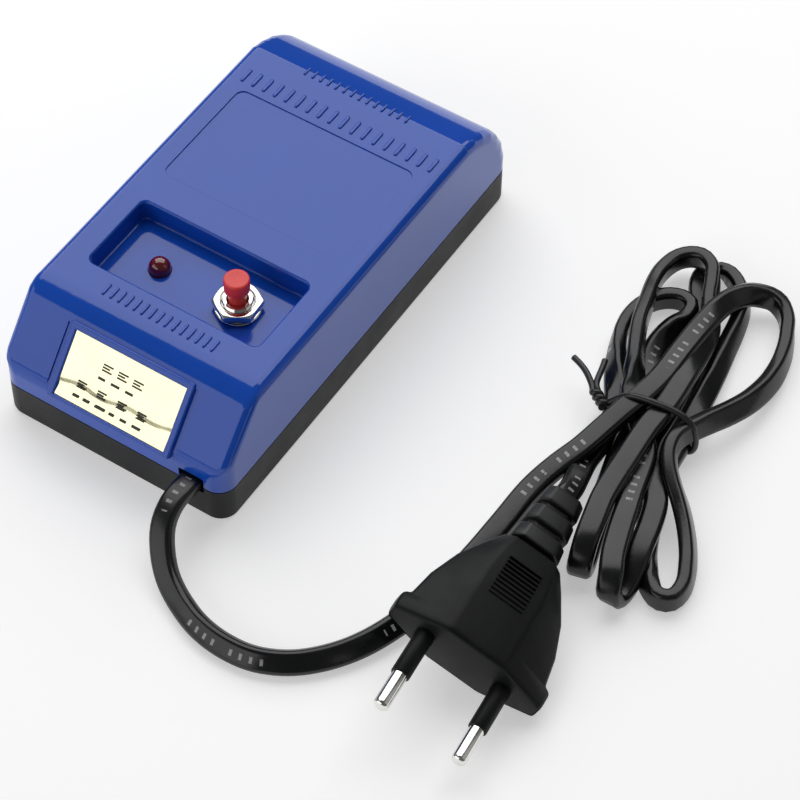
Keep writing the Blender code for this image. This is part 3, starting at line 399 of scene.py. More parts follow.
def thing_from(bm, name):
    mesh = bpy.data.meshes.new(name)
    bm.normal_update()
    bm.to_mesh(mesh)
    bm.free()
    made = bpy.data.objects.new(name, mesh)
    bpy.context.scene.collection.objects.link(made)
    return made


def applied(thing):
    """Turns a piece's modifiers into its mesh, and its place too."""
    graph = bpy.context.evaluated_depsgraph_get()
    mesh = bpy.data.meshes.new_from_object(thing.evaluated_get(graph), depsgraph=graph)
    mesh.transform(thing.matrix_world)
    name = thing.name
    old = thing.data
    if thing.type == "MESH":
        thing.modifiers.clear()
        thing.data = mesh
        thing.matrix_world = Matrix.Identity(4)
        bpy.data.meshes.remove(old)
        made = thing
    else:
        bpy.data.objects.remove(thing)
        made = bpy.data.objects.new(name, mesh)
        bpy.context.scene.collection.objects.link(made)
    made.data.name = name
    return made


def cut(thing, *tools, how="DIFFERENCE"):
    """Cuts or joins with other pieces, which are removed."""
    for tool in tools:
        modifier = thing.modifiers.new("cut", "BOOLEAN")
        modifier.operation = how
        modifier.solver = "EXACT"
        modifier.object = tool
    made = applied(thing)
    for tool in tools:
        bpy.data.objects.remove(tool)
    return made


def settle(thing, slot, body="case", nodes=(), sharp=35.0, material=None, flat=False):
    """Gives a finished piece its finish and its body, and hides the CAD nodes it stands for.

    flat: keeps broad faces flat in their shading up to the roundings beside them.
    """
    shade(thing.data, sharp)
    if flat:
        even = thing.modifiers.new("flat faces", "WEIGHTED_NORMAL")
        even.keep_sharp = True
        even.weight = 60
    thing.data.materials.clear()
    thing.data.materials.append(material or finish_for(slot))
    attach(thing, body)
    if nodes:
        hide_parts(*nodes)


def bevelled(thing, width, segments, angle=30.0, weighted=False):
    modifier = thing.modifiers.new("bevel", "BEVEL")
    modifier.width = width
    modifier.segments = segments
    modifier.limit_method = "WEIGHT" if weighted else "ANGLE"
    modifier.angle_limit = math.radians(angle)
    modifier.use_clamp_overlap = False


def bevel_weights(mesh):
    name = "bevel_weight_edge"
    return mesh.attributes.get(name) or mesh.attributes.new(name, "FLOAT", "EDGE")


def block(name, low, high):
    bm = bmesh.new()
    bmesh.ops.create_cube(bm, size=1.0)
    low, high = Vector(low), Vector(high)
    for v in bm.verts:
        v.co = Vector(((v.co.x + 0.5) * (high.x - low.x) + low.x, (v.co.y + 0.5) * (high.y - low.y) + low.y,
                       (v.co.z + 0.5) * (high.z - low.z) + low.z))
    return thing_from(bm, name)


def turned(name, profile, steps, matrix=None):
    """A turned piece from a profile of (radius, height) that runs from top to bottom, placed by matrix."""
    bm = bmesh.new()
    verts = [bm.verts.new((r, 0.0, z)) for r, z in profile]
    for a, b in zip(verts, verts[1:]):
        bm.edges.new((a, b))
    made = thing_from(bm, name)
    modifier = made.modifiers.new("turn", "SCREW")
    modifier.steps = steps
    modifier.render_steps = steps
    modifier.use_merge_vertices = True
    modifier.merge_threshold = 0.000005
    made = applied(made)
    if matrix is not None:
        made.data.transform(matrix)
    return made


def join_rings(bm, rings, closed=False):
    """Faces between neighbouring rings of corners: the ends are shut or, if closed, joined to each other."""
    for a, b in zip(rings, rings[1:] + rings[:1] if closed else rings[1:]):
        for i in range(len(a)):
            j = (i + 1) % len(a)
            bm.faces.new((a[i], a[j], b[j], b[i]))
    if not closed:
        bm.faces.new(rings[0])
        bm.faces.new(list(reversed(rings[-1])))
    bmesh.ops.recalc_face_normals(bm, faces=bm.faces)


def up_at(x, y):
    return Matrix.Translation((x, y, 0.0))


def arc(centre, radius, start, end, count):
    """Points of an arc in a turned piece's profile, angles in degrees from the radial direction."""
    return [(centre[0] + radius * math.cos(math.radians(start + (end - start) * k / count)),
             centre[1] + radius * math.sin(math.radians(start + (end - start) * k / count)))
            for k in range(count + 1)]


# ---- case --------------------------------------------------------------------------------------------

BACK_ROLL = ((0.0413, 0.0290), (0.0450, 0.0274), (0.0487, 0.0248), (0.0518, 0.0211), (0.0541, 0.0170))
SIDE_PROFILE = ((-LENGTH / 2, SLOPE_FOOT_Z), (SLOPE_TOP_Y, HEIGHT), (CREASE_Y, HEIGHT), *BACK_ROLL,
                (LENGTH / 2, BACK_FOOT_Z))


# Rows of raised marks: how many, first and last x, y, size along y and across x.
MARK_ROWS = ((18, -0.0238, 0.0246, 0.0290, 0.0042, 0.00095), (14, -0.0134, 0.0127, 0.0374, 0.0026, 0.00070),
             (15, -0.0131, 0.0141, -0.0366, 0.0033, 0.00070))
# One mark along y: place in its size, share of its width, share of its rise.
MARK_SHAPE = ((-0.5, 0.55, 0.55), (-0.44, 0.88, 1.0), (-0.34, 1.0, 1.0), (0.0, 1.0, 1.0), (0.34, 1.0, 1.0),
              (0.44, 0.88, 1.0), (0.5, 0.55, 0.55))


def inset_profile(inset, floor):
    """The case's side profile moved inwards, as (y, z) corners from the front foot over to the back foot."""
    corners = [Vector(p) for p in ((-LENGTH / 2, 0.0), *SIDE_PROFILE, (LENGTH / 2, 0.0))]
    lines = []
    for a, b in zip(corners, corners[1:]):
        along = (b - a).normalized()
        lines.append((a + Vector((along.y, -along.x)) * inset, along))
    moved = []
    for (a, along_a), (b, along_b) in zip(lines, lines[1:]):
        moved.append(a + along_a * ((b - a).cross(along_b) / along_a.cross(along_b)))
    return [Vector((moved[0].x, floor)), *moved, Vector((moved[-1].x, floor))]


def upper_form(name, inset, floor, rounds, segments):
    """The upper case's form: its side profile carried across, rounded by a weighted bevel.

    rounds: widths at the upright corners, side edges, slope foot, slope top, back crease and back roll. The
    side edges widen to the upright corners' width on their way down the back roll.
    """
    upright, side, foot, roll, crease, back = rounds
    bulge = len(BACK_ROLL)
    profile = inset_profile(inset, floor)
    half = WIDTH / 2 - inset
    bm = bmesh.new()
    left = [bm.verts.new((-half, y, z)) for y, z in profile]
    grown = bmesh.ops.extrude_face_region(bm, geom=[bm.faces.new(left)])
    right = [v for v in grown["geom"] if isinstance(v, bmesh.types.BMVert)]
    bmesh.ops.translate(bm, vec=(2 * half, 0.0, 0.0), verts=right)
    weight = bm.edges.layers.float.new("bevel_weight_edge")
    across = (0.0, foot, roll, crease, *[back] * (bulge + 1), 0.0)
    widest = max(rounds)
    for edge in bm.edges:
        a, b = edge.verts
        if abs(a.co.x - b.co.x) > half:
            nearest = min(range(len(profile)), key=lambda i: (Vector(a.co.yz) - profile[i]).length)
            width = across[nearest]
        elif max(a.co.z, b.co.z) < floor + 1e-6:
            width = 0.0
        elif abs(a.co.y - b.co.y) < 1e-6:
            width = upright
        elif min(a.co.y, b.co.y) > CREASE_Y - inset - 0.001:
            fall = (HEIGHT - (a.co.z + b.co.z) / 2) / (HEIGHT - BACK_FOOT_Z)
            width = side + (upright - side) * min(fall, 1.0)
        else:
            width = side
        edge[weight] = width / widest
    bmesh.ops.recalc_face_normals(bm, faces=bm.faces)
    made = thing_from(bm, name)
    bevelled(made, widest, segments, weighted=True)
    return applied(made)


def slope_matrix():
    """Place of the front slope: x across, y up the slope, z out of it, origin at the middle of the label."""
    foot = Vector((0.0, -LENGTH / 2, SLOPE_FOOT_Z))
    top = Vector((0.0, SLOPE_TOP_Y, HEIGHT))
    up = (top - foot).normalized()
    out = Vector((1.0, 0.0, 0.0)).cross(up)
    middle = top - up * LABEL_DOWN
    return Matrix(((1.0, up.x, out.x, middle.x), (0.0, up.y, out.y, middle.y),
                   (0.0, up.z, out.z, middle.z), (0.0, 0.0, 0.0, 1.0)))


def rounded_block(name, low, high, corner, segments, foot=0.0):
    """A block with rounded upright corners, and a smaller rounding round its foot."""
    made = block(name, low, high)
    for width, steps, chosen in ((corner, segments, lambda a, b: abs(a.z - b.z) > 1e-6),
                                 (foot, 3, lambda a, b: max(a.z, b.z) < low[2] + 1e-6)):
        if width:
            weight = bevel_weights(made.data)
            for edge in made.data.edges:
                a, b = (made.data.vertices[i].co for i in edge.vertices)
                weight.data[edge.index].value = float(chosen(a, b))
            bevelled(made, width, steps, weighted=True)
            made = applied(made)
    return made


def plan_block(name, inset, low, high, corner, segments, foot=0.0):
    """A rounded block with the case's plan, less an inset."""
    return rounded_block(name, (-WIDTH / 2 + inset, -LENGTH / 2 + inset, low),
                         (WIDTH / 2 - inset, LENGTH / 2 - inset, high), corner, segments, foot)


def outlet_tool(name):
    x, y, z = OUTLET
    wide, tall = OUTLET_SIZE
    tool = block(name, (x - wide / 2, y - 0.004, z - tall / 2), (x + wide / 2, y + 0.006, z + tall / 2))
    bevelled(tool, 0.0006, 3)
    return applied(tool)


def rod_tool(name, at, low, high, radius, steps):
    return turned(name, ((0.0, high), (radius, high), (radius, low), (0.0, low)), steps, up_at(*at))


def soften_rim(thing, test, width, segments):
    """Rounds only the edges whose two ends pass the test."""
    data = thing.data
    weight = bevel_weights(data)
    for edge in data.edges:
        a, b = (data.vertices[i].co for i in edge.vertices)
        weight.data[edge.index].value = 1.0 if test(a) and test(b) else 0.0
    bevelled(thing, width, segments, weighted=True)
    return applied(thing)


class DEMAG_OT_top_shell(bpy.types.Operator):
    """Builds the glossy upper case with its control pocket, shallow panel, label seat and raised marks"""
    bl_idname = "demag.top_shell"
    bl_label = "Upper case"

    def execute(self, context):
        case = context.scene.demag_case
        floor = SEAM + SEAM_GAP / 2
        rounds = (case.corner, case.edge_round, 0.0022, 0.0042, 0.0002, 0.0017)
        shell = upper_form("top_shell_skin", 0.0, floor, rounds, 10)
        cavity = upper_form("cavity", WALL, SEAM - 0.002, (0.0018, 0.0008, 0.0010, 0.0012, 0.0, 0.0), 2)
        half_x, half_y = case.pocket_width / 2, case.pocket_depth / 2
        wall = 0.0016
        tub = block("tub", (-half_x - wall, POCKET_Y - half_y - wall, POCKET_FLOOR - 0.0018),
                    (half_x + wall, POCKET_Y + half_y + wall, CLEAR))
        posts = [rod_tool(f"post_{i}", at, SEAM + 0.0006, CLEAR, 0.0032, 24) for i, at in enumerate(POSTS)]
        cavity = cut(cavity, tub, *posts)
        pocket = rounded_block("pocket", (-half_x, POCKET_Y - half_y, POCKET_FLOOR),
                               (half_x, POCKET_Y + half_y, CLEAR), 0.0015, 6, foot=0.0004)
        panel = rounded_block("panel", (-PANEL_HALF, PANEL_FRONT, HEIGHT - PANEL_DEPTH),
                              (PANEL_HALF, PANEL_BACK, CLEAR), 0.0020, 5)
        play = 0.00025
        seat_x, seat_y = case.label_width / 2 + play, case.label_height / 2 + play
        slope_cuts = [block("seat", (-seat_x, -seat_y, -0.0006), (seat_x, seat_y, 0.002))]
        inner = case.label_width / 2 + 0.0017
        outer = inner + 0.0009
        for side, (left, right) in enumerate(((-outer, -inner), (inner, outer))):
            slope_cuts.append(block(f"groove_{side}", (left, -0.0085, -0.00035), (right, 0.0080, 0.002)))
        for tool in slope_cuts:
            tool.data.transform(slope_matrix())
        holes = [rod_tool("lamp_hole", LAMP, 0.017, 0.031, 0.00258, 40),
                 rod_tool("button_hole", BUTTON, 0.017, 0.031, 0.00365, 40)]
        pilots = [rod_tool(f"pilot_{i}", at, 0.005, 0.0185, 0.00175, 16) for i, at in enumerate(POSTS)]
        shell = cut(shell, cavity, panel, *slope_cuts, outlet_tool("outlet"))
        shell = cut(shell, pocket)

        def on_rim(p):
            inside = abs(p.x) < half_x + NEAR and abs(p.y - POCKET_Y) < half_y + NEAR
            return inside and abs(p.z - HEIGHT) < 1e-5

        shell = soften_rim(shell, on_rim, 0.0007, 4)

        def on_panel(p):
            inside = abs(p.x) < PANEL_HALF + NEAR and PANEL_FRONT - NEAR < p.y < PANEL_BACK + NEAR
            return inside and abs(p.z - HEIGHT) < 1e-5

        shell = soften_rim(shell, on_panel, 0.00018, 2)
        shell = cut(shell, *holes, *pilots)
        settle(shell, "case_blue", nodes=("top_shell",), sharp=32.0, flat=True)
        self.label_frame(case)
        self.marks(case)
        return {"FINISHED"}

    def label_frame(self, case):
        """The raised border round the label; its lower rail is narrower, so that it stays on the slope."""
        w, h, lip = case.label_width / 2 + 0.0001, case.label_height / 2 + 0.0001, 0.0015
        low, high = -0.0010, 0.0006
        bm = bmesh.new()
        rings = []
        for grow, z in ((0.0, low), (0.0, high), (lip, high), (lip, low)):
            rings.append([bm.verts.new((sx * (w + grow), max(sy * (h + grow), -0.0082), z))
                          for sx, sy in ((-1, -1), (1, -1), (1, 1), (-1, 1))])
        join_rings(bm, rings, closed=True)
        made = thing_from(bm, "label_frame")
        bevelled(made, 0.00036, 4)
        made = applied(made)
        made.data.transform(slope_matrix())
        settle(made, "case_blue", flat=True)

    def marks(self, case):
        """Rows of plain raised bars behind the panel, at the crease and above the label."""
        bm = bmesh.new()
        fall = (HEIGHT - BACK_ROLL[0][1]) / (BACK_ROLL[0][0] - CREASE_Y)

        def top_z(y):
            return HEIGHT - max(0.0, y - CREASE_Y) * fall

        for count, x0, x1, y, tall, wide in MARK_ROWS:
            for k in range(count):
                x = x0 + (x1 - x0) * k / (count - 1)
                rings = []
                for t, shrink, lift in MARK_SHAPE:
                    yy = y + t * tall
                    half = wide / 2 * shrink
                    rise = case.mark_rise * lift
                    z = top_z(yy)
                    corners = ((-1, -0.0004), (-1, rise * 0.55), (-0.6, rise), (0.6, rise), (1, rise * 0.55),
                               (1, -0.0004))
                    rings.append([bm.verts.new((x + half * a, yy, z + b)) for a, b in corners])
                join_rings(bm, rings)
        made = thing_from(bm, "raised_marks")
        modifier = made.modifiers.new("soft", "SUBSURF")
        modifier.levels = modifier.render_levels = 1
        made = applied(made)
        settle(made, "case_blue", sharp=60.0)


class DEMAG_OT_base_shell(bpy.types.Operator):
    """Builds the satin black lower case with its screw wells and the lead's notch"""
    bl_idname = "demag.base_shell"
    bl_label = "Lower case"

    def execute(self, context):
        case = context.scene.demag_case
        top = SEAM - SEAM_GAP / 2
        base = plan_block("base_shell_skin", 0.0, 0.0, top, case.corner, 10, foot=0.0008)
        lip = plan_block("lip", 0.0014, top - 0.003, SEAM + 0.0017, 0.0028, 6)
        space = plan_block("space", WALL, 0.0020, 0.020, 0.0018, 5)
        bosses = [rod_tool(f"boss_{i}", at, 0.0005, SEAM - 0.0003, 0.0042, 28) for i, at in enumerate(POSTS)]
        space = cut(space, *bosses)
        base = cut(base, lip, how="UNION")
        wells = [rod_tool(f"well_{i}", at, -0.001, 0.0050, 0.0030, 36) for i, at in enumerate(POSTS)]
        holes = [rod_tool(f"hole_{i}", at, 0.003, 0.012, 0.00175, 20) for i, at in enumerate(POSTS)]
        base = cut(base, space, *wells, *holes, outlet_tool("outlet"))

        def on_well(p):
            return p.z < 1e-5 and any((Vector(p.xy) - Vector(at)).length < 0.0031 for at in POSTS)

        base = soften_rim(base, on_well, 0.0003, 2)
        settle(base, "case_black", nodes=("base_shell",), sharp=32.0, flat=True)
        return {"FINISHED"}


class DEMAG_OT_case_screws(bpy.types.Operator):
    """Builds the four cross-recessed screws that hold the case together from below"""
    bl_idname = "demag.case_screws"
    bl_label = "Case screws"

    def execute(self, context):
        low, high, head, shank, root, crest, pitch = 0.0028, 0.0047, 0.0027, 0.00125, 0.00112, 0.00140, 0.0007
        threads = []
        for k in range(11):
            z = 0.0166 - pitch * k
            threads += [(root, z), (crest, z - 0.00022), (root, z - 0.00044)]
        profile = [(0.0, 0.0175), (0.0006, 0.0172), (0.0011, 0.0167), *threads, (0.0011, z - pitch),
                   (shank, 0.0050), (shank, high), (head - 0.0001, high), (head, high - 0.0001),
                   (head, 0.0038), *arc((head - 0.0010, 0.0038), 0.0010, 0, -90, 5), (0.0, low)]
        for k, (word, at) in enumerate(zip(("front_left", "front_right", "back_left", "back_right"), POSTS)):
            screw = turned(f"case_screw_{word}_skin", profile, 28)
            for turn in (0, 90):
                slot = block("slot", (-0.00155, -0.00028, low - 0.001), (0.00155, 0.00028, low + 0.0009))
                slot.data.transform(Matrix.Rotation(math.radians(turn + 20 + 31 * k), 4, "Z"))
                screw = cut(screw, slot)
            screw.data.transform(up_at(*at))
            settle(screw, "zinc_steel", nodes=(f"case_screw_{word}",), sharp=30.0)
        return {"FINISHED"}


# Printed bars on the label, in millimetres: top of the row, its height, then left end and length of each bar.
LABEL_ROWS = (
    (3.6, 1.5, ((-5.4, 2.4), (-1.6, 2.4), (2.2, 2.4))),
    (0.6, 0.55, ((-5.6, 1.7), (-2.4, 2.1), (1.2, 1.9))),
    (-2.1, 1.5, ((-9.6, 2.2), (-4.6, 2.2), (0.4, 2.2), (5.4, 2.2))),
    (-5.2, 0.6, ((-9.8, 1.5), (-7.2, 1.5), (-4.2, 2.4), (-0.6, 1.2), (2.2, 1.5), (5.2, 2.0))),
)


class DEMAG_OT_label(bpy.types.Operator):
    """Builds the gold foil label and its plain printed bars"""
    bl_idname = "demag.label"
    bl_label = "Label"

    def execute(self, context):
        case = context.scene.demag_case
        w, h = case.label_width / 2, case.label_height / 2
        sag_depth, sag_at, sag_width = 0.00034, 0.58, 0.19
        bm = bmesh.new()
        bmesh.ops.create_grid(bm, x_segments=40, y_segments=26, size=1.0)
        for v in bm.verts:
            x, y = v.co.x, v.co.y
            sag = sag_depth * math.exp(-((y + sag_at - 0.08 * x - 0.05 * math.sin(7 * x)) / sag_width) ** 2)
            v.co = Vector((x * w, y * h, 0.0002 - sag))
        made = self.thickened(thing_from(bm, "label_foil"), 0.0005, -1.0)
        settle(made, "gold_label", nodes=("label_plate",), sharp=50.0)
        bm = bmesh.new()
        for y, tall, bars in LABEL_ROWS:
            for x, wide in bars:
                lines = 3 if tall > 1 else 1
                for line in range(lines):
                    thick = 0.34 if lines > 1 else tall
                    yy = y - line * 0.62
                    reach = wide * (1.0, 0.72, 1.0)[line] if lines > 1 else wide
                    corners = [Vector((a * MM, b * MM, 0.00021)) for a, b in (
                        (x, yy - thick), (x + reach, yy - thick), (x + reach, yy), (x, yy))]
                    bm.faces.new([bm.verts.new(c) for c in corners])
        made = self.thickened(thing_from(bm, "label_print"), 0.00006, 1.0)
        ink = finish("label_ink", (0.02, 0.02, 0.018), 0.5, mottle=0.25, mottle_scale=900, grain_scale=3000,
                     grain_depth=0.000005)
        settle(made, "case_black", material=ink)
        return {"FINISHED"}

    def thickened(self, thing, thickness, offset):
        """A flat sheet made solid and laid on the slope."""
        solid = thing.modifiers.new("thick", "SOLIDIFY")
        solid.thickness = thickness
        solid.offset = offset
        made = applied(thing)
        made.data.transform(slope_matrix())
        return made


# ---- controls ------------------------------------------------------------------------------------------

LENS_TOP, LENS_FOOT, LENS_RIM = 0.0278, 0.0191, 0.0004
CAP_TOP, CAP_FOOT = 0.0344, 0.0310
STEM_RADIUS, COLLAR_RADIUS, COLLAR_TOP, COLLAR_FOOT = 0.0020, 0.0029, 0.0186, 0.0178
THREAD_CREST, THREAD_ROOT, THREAD_TOP, THREAD_PITCH, THREAD_TURNS = 0.00335, 0.00318, 0.0277, 0.0004, 6
BUSHING_BORE, BUSHING_TOP, BUSHING_EDGE = 0.0023, 0.0280, 0.02785
WASHER_IN, WASHER_OUT, WASHER_LOW, WASHER_HIGH = 0.00345, 0.0051, 0.0251, 0.0254
NUT_FOOT, NUT_MIDDLE, NUT_TOP, NUT_HEIGHT, NUT_BORE = 0.0256, 0.0266, 0.0276, 0.0020, 0.0034
NUT_TURN = 62.4


class DEMAG_OT_lamp(bpy.types.Operator):
    """Builds the round-topped red lamp"""
    bl_idname = "demag.lamp"
    bl_label = "Lamp"

    def execute(self, context):
        r = context.scene.demag_control.lens_radius
        rim = r + LENS_RIM
        dome = arc((0.0, LENS_TOP - r), r, 90, 0, 14)
        profile = [(0.0, LENS_TOP), *dome[1:], (r, 0.0202), (rim - 0.0001, 0.0201), (rim, 0.0200),
                   (rim, LENS_FOOT + 0.0001), (rim - 0.0001, LENS_FOOT), (0.0, LENS_FOOT)]
        made = turned("lamp_dome", profile, 48, up_at(*LAMP))
        settle(made, "lamp_red", nodes=("lamp_lens",), sharp=50.0)
        return {"FINISHED"}


class DEMAG_OT_button(bpy.types.Operator):
    """Builds the red push button, its nickel bushing, nut and lock washer"""
    bl_idname = "demag.button"
    bl_label = "Push button"

    def execute(self, context):
        control = context.scene.demag_control
        at = up_at(*BUTTON)
        r = control.cap_radius
        crown, hem = 0.00045, 0.0002
        profile = [(0.0, CAP_TOP - 0.00014), (r * 0.55, CAP_TOP - 0.00012), (r - 0.00075, CAP_TOP),
                   *arc((r - crown, CAP_TOP - crown), crown, 80, 0, 5), (r, CAP_FOOT + 0.0005),
                   *arc((r - hem, CAP_FOOT + hem), hem, 0, -90, 3), (STEM_RADIUS, CAP_FOOT),
                   (STEM_RADIUS, COLLAR_TOP), (COLLAR_RADIUS - 0.0001, COLLAR_TOP),
                   (COLLAR_RADIUS, COLLAR_TOP - 0.0001), (COLLAR_RADIUS, COLLAR_FOOT + 0.0001),
                   (COLLAR_RADIUS - 0.0001, COLLAR_FOOT), (0.0, COLLAR_FOOT)]
        cap = turned("button_cap_skin", profile, 48, at)
        settle(cap, "button_red", body="button", nodes=("button_cap",), sharp=50.0)

        threads = []
        for k in range(THREAD_TURNS):
            z = THREAD_TOP - THREAD_PITCH * k
            threads += [(THREAD_CREST, z), (THREAD_ROOT, z - THREAD_PITCH / 2)]
        outer = [(BUSHING_BORE, BUSHING_EDGE), (0.0024, BUSHING_TOP), (0.0031, BUSHING_TOP), *threads,
                 (THREAD_CREST, 0.0251), (THREAD_CREST, 0.0230), (0.0049, 0.0230), (0.0049, 0.0217),
                 (0.0034, 0.0217), (0.0034, 0.0191), (0.00305, 0.0191), (0.00305, 0.0213),
                 (BUSHING_BORE, 0.0213), (BUSHING_BORE, BUSHING_EDGE)]
        bushing = turned("button_bushing_skin", outer, 48, at)
        settle(bushing, "nickel", nodes=("button_bushing",), sharp=30.0)

        washer = [(WASHER_IN, 0.0253), (0.00352, WASHER_HIGH), (0.00500, WASHER_HIGH), (WASHER_OUT, 0.0253),
                  (WASHER_OUT, 0.0252), (0.0050, WASHER_LOW), (0.00352, WASHER_LOW), (WASHER_IN, 0.0252),
                  (WASHER_IN, 0.0253)]
        settle(turned("lock_washer_skin", washer, 56, at), "nickel", nodes=("lock_washer",), sharp=30.0)

        corner = control.nut_flats / math.sqrt(3)
        bm = bmesh.new()
        bmesh.ops.create_cone(bm, cap_ends=True, segments=6, radius1=corner, radius2=corner, depth=NUT_HEIGHT)
        nut = thing_from(bm, "button_nut_skin")
        turn = Matrix.Rotation(math.radians(NUT_TURN), 4, "Z")
        nut.data.transform(Matrix.Translation((0, 0, NUT_MIDDLE)) @ turn)
        flat, beyond = control.nut_flats / 2, corner + 0.0002
        trim = turned("trim", [(0.0, NUT_TOP), (flat - 0.0001, NUT_TOP), (beyond, 0.02715), (beyond, 0.0259),
                               (flat + 0.00015, NUT_FOOT), (0.0, NUT_FOOT)], 64)
        nut = cut(nut, trim, how="INTERSECT")
        flare = 0.0040
        bore = turned("bore", [(0.0, 0.0293), (flare, 0.0293), (flare, 0.0277), (NUT_BORE, 0.0273),
                               (NUT_BORE, 0.0258), (flare, 0.0255), (flare, 0.0243), (0.0, 0.0243)], 48)
        nut = cut(nut, bore)
        bevelled(nut, 0.00007, 2, angle=25.0)
        nut = applied(nut)
        nut.data.transform(at)
        settle(nut, "nickel", nodes=("button_nut",), sharp=24.0)
        return {"FINISHED"}


# ---- lead, tie and plug ----------------------------------------------------------------------------------

def plug_matrix():
    pitch, roll, heading = PLUG_TURN
    return (Matrix.Translation(PLUG_AT) @ Matrix.Rotation(heading, 4, "Z") @ Matrix.Rotation(pitch, 4, "X")
            @ Matrix.Rotation(roll, 4, "Y"))


def smooth_way(points, step):
    """Points evenly along a centripetal curve through the given points, each with its place along the list."""
    ends = [points[0] * 2 - points[1], *points, points[-1] * 2 - points[-2]]
    fine = []
    for k in range(len(points) - 1):
        p0, p1, p2, p3 = ends[k:k + 4]
        t1 = max((p1 - p0).length, 1e-9) ** 0.5
        t2 = t1 + max((p2 - p1).length, 1e-9) ** 0.5
        t3 = t2 + max((p3 - p2).length, 1e-9) ** 0.5
        for n in range(24):
            t = t1 + (t2 - t1) * n / 24
            a1 = p0 * ((t1 - t) / t1) + p1 * (t / t1)
            a2 = p1 * ((t2 - t) / (t2 - t1)) + p2 * ((t - t1) / (t2 - t1))
            a3 = p2 * ((t3 - t) / (t3 - t2)) + p3 * ((t - t2) / (t3 - t2))
            b1 = a1 * ((t2 - t) / t2) + a2 * (t / t2)
            b2 = a2 * ((t3 - t) / (t3 - t1)) + a3 * ((t - t1) / (t3 - t1))
            fine.append((b1 * ((t2 - t) / (t2 - t1)) + b2 * ((t - t1) / (t2 - t1)), k + n / 24))
    fine.append((points[-1].copy(), float(len(points) - 1)))
    total = sum((b[0] - a[0]).length for a, b in zip(fine, fine[1:]))
    count = max(2, round(total / step))
    even, walked, k = [fine[0]], 0.0, 0
    for n in range(1, count):
        goal = total * n / count
        while walked + (fine[k + 1][0] - fine[k][0]).length < goal:
            walked += (fine[k + 1][0] - fine[k][0]).length
            k += 1
        (here, here_place), (there, there_place) = fine[k:k + 2]
        share = (goal - walked) / (there - here).length
        even.append((here.lerp(there, share), here_place * (1 - share) + there_place * share))
    even.append(fine[-1])
    return even, total


def lead_section(width, thick, corner, count=5):
    """The flat lead's outline as (across, up), anticlockwise, with count steps round each corner."""
    ring = []
    for sx, sy, start in ((1, 1, 0), (-1, 1, 90), (-1, -1, 180), (1, -1, 270)):
        for k in range(count + 1):
            angle = math.radians(start + 90 * k / count)
            ring.append((sx * (width / 2 - corner) + corner * math.cos(angle),
                         sy * (thick / 2 - corner) + corner * math.sin(angle)))
    return ring


def lead_frames(way, tilts):
    """Across and up directions at each point: turned as little as possible, and brought to the asked tilts."""
    points = [p for p, _ in way]
    tangents = []
    for i in range(len(points)):
        tangents.append((points[min(i + 1, len(points) - 1)] - points[max(i - 1, 0)]).normalized())
    across = [tangents[0].cross(Vector((0, 0, 1))).normalized()]
    for a, b in zip(tangents, tangents[1:]):
        carried = a.rotation_difference(b) @ across[-1]
        across.append((carried - b * carried.dot(b)).normalized())
    marks = []
    for k, tilt in enumerate(tilts):
        i = min(range(len(way)), key=lambda j: abs(way[j][1] - k))
        t = tangents[i]
        if abs(t.z) > 0.8:
            continue
        level = t.cross(Vector((0, 0, 1))).normalized()
        wanted = Matrix.Rotation(math.radians(tilt), 3, t) @ level
        turn = math.atan2(t.dot(across[i].cross(wanted)), across[i].dot(wanted))
        if marks:
            turn += math.pi * round((marks[-1][1] - turn) / math.pi)
        marks.append((i, turn))
    turned_across = []
    m = 0
    for i, t in enumerate(tangents):
        while m + 1 < len(marks) and marks[m + 1][0] <= i:
            m += 1
        if m + 1 < len(marks) and i >= marks[m][0]:
            share = (i - marks[m][0]) / (marks[m + 1][0] - marks[m][0])
            share = share * share * (3 - 2 * share)
            turn = marks[m][1] * (1 - share) + marks[m + 1][1] * share
        else:
            turn = marks[m][1]
        turned_across.append(Matrix.Rotation(turn, 3, t) @ across[i])
    return tangents, turned_across


